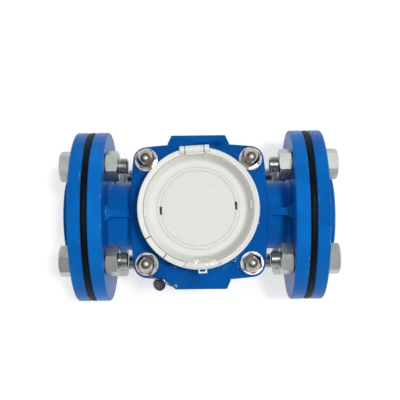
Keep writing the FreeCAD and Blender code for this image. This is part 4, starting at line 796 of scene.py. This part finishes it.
# %% Floor
FLOOR_HALF = 4.0
FLOOR_GAP = 0.0005
paper = bpy.data.materials.new("studio_paper_white")
paper.use_nodes = True
tree = paper.node_tree
tree.nodes.remove(tree.nodes["Principled BSDF"])
rays = add(tree, "LightPath").node.outputs
seen = add(tree, "Math", {0: rays["Is Camera Ray"], 1: rays["Is Glossy Ray"]}, operation="MAXIMUM")
shown = add(tree, "Math", {0: seen, 1: rays["Is Transmission Ray"]}, operation="MAXIMUM")
lift = add(tree, "Math", {0: shown, 1: 0.6}, operation="MULTIPLY")
matt = add(tree, "BsdfDiffuse", {"Color": (0.5, 0.5, 0.5, 1.0)})
glow = add(tree, "Emission", {"Color": (1.0, 1.0, 1.0, 1.0), "Strength": lift})
both = add(tree, "AddShader", {0: matt, 1: glow})
fill(tree, tree.nodes["Material Output"], {"Surface": both})
sheet = bmesh.new()
bmesh.ops.create_grid(sheet, x_segments=1, y_segments=1, size=FLOOR_HALF)
sheet.transform(Matrix.Translation((MIDDLE_X, 0.0, cad_low.z - FLOOR_GAP)))
mesh = bpy.data.meshes.new("floor")
sheet.to_mesh(mesh)
sheet.free()
mesh.materials.append(paper)
floor = bpy.data.objects.new("floor", mesh)
bpy.context.scene.collection.objects.link(floor)
print("floor at z =", round(cad_low.z, 4))

# %% World
PATCH_TOWARDS = (0.0995, 0.0, 0.995)
world = bpy.data.worlds.new("studio")
bpy.context.scene.world = world
world.use_nodes = True
tree = world.node_tree
way = add(tree, "TexCoord", out="Generated")
height = add(tree, "SeparateXYZ", {0: way}, "Z")
sky = add(tree, "MapRange", {
    "Value": height, "From Min": 0.2, "From Max": 0.55, "To Min": 1.0, "To Max": 0.2,
})
lean = add(tree, "VectorMath", {0: way, 1: PATCH_TOWARDS}, "Value", operation="DOT_PRODUCT")
patch = add(tree, "MapRange", {"Value": lean, "From Min": 0.80, "From Max": 0.92, "To Max": 1.1})
east = add(tree, "SeparateXYZ", {0: way}, "X")
side = add(tree, "MapRange", {"Value": east, "From Min": -1.0, "To Min": 0.75, "To Max": 1.1})
total = add(tree, "Math", {0: sky, 1: side, 2: patch}, operation="MULTIPLY_ADD")
band = add(tree, "MapRange", {"Value": height, "From Min": 0.32, "From Max": 0.22})
strength = add(tree, "Mix", {FACTOR: band, VALUE_A: total, VALUE_B: 1.0})
fill(tree, tree.nodes["Background"], {"Color": (1.0, 1.0, 1.0, 1.0), "Strength": strength})
print("world ready")

# %% Key lamp
KEY_EAST = 0.64
KEY_HEIGHT = 3.25
AIM_HEIGHT = 0.05
lamp = bpy.data.lights.new("key", "AREA")
lamp.shape = "DISK"
lamp.size = 0.3
lamp.energy = 45.5
key = bpy.data.objects.new("key", lamp)
bpy.context.scene.collection.objects.link(key)
key.location = (MIDDLE_X + KEY_EAST, 0.0, KEY_HEIGHT)
aim = Vector((MIDDLE_X, 0.0, AIM_HEIGHT)) - key.location
key.rotation_mode = "QUATERNION"
key.rotation_quaternion = aim.to_track_quat("-Z", "Y")
print("key lamp at", list(key.location))

# %% [markdown]
# ## Camera
# The photograph looks straight down from about 0.83 m, tilted by a few degrees. The place, the tilt
# and the lens come from a fit of known points, such as the bolt axes, the dome nuts and the ring.

# %% Camera
lens = bpy.data.cameras.new("camera")
lens.lens = 75.6
lens.sensor_width = 36.0
camera = bpy.data.objects.new("camera", lens)
bpy.context.scene.collection.objects.link(camera)
camera.location = (0.1355, -0.0575, 0.8268)
camera.rotation_mode = "ZYX"
camera.rotation_euler = (0.0880, 0.0083, -0.0117)
bpy.context.scene.camera = camera
bpy.context.scene.view_settings.view_transform = "Standard"
print("camera at", list(camera.location))
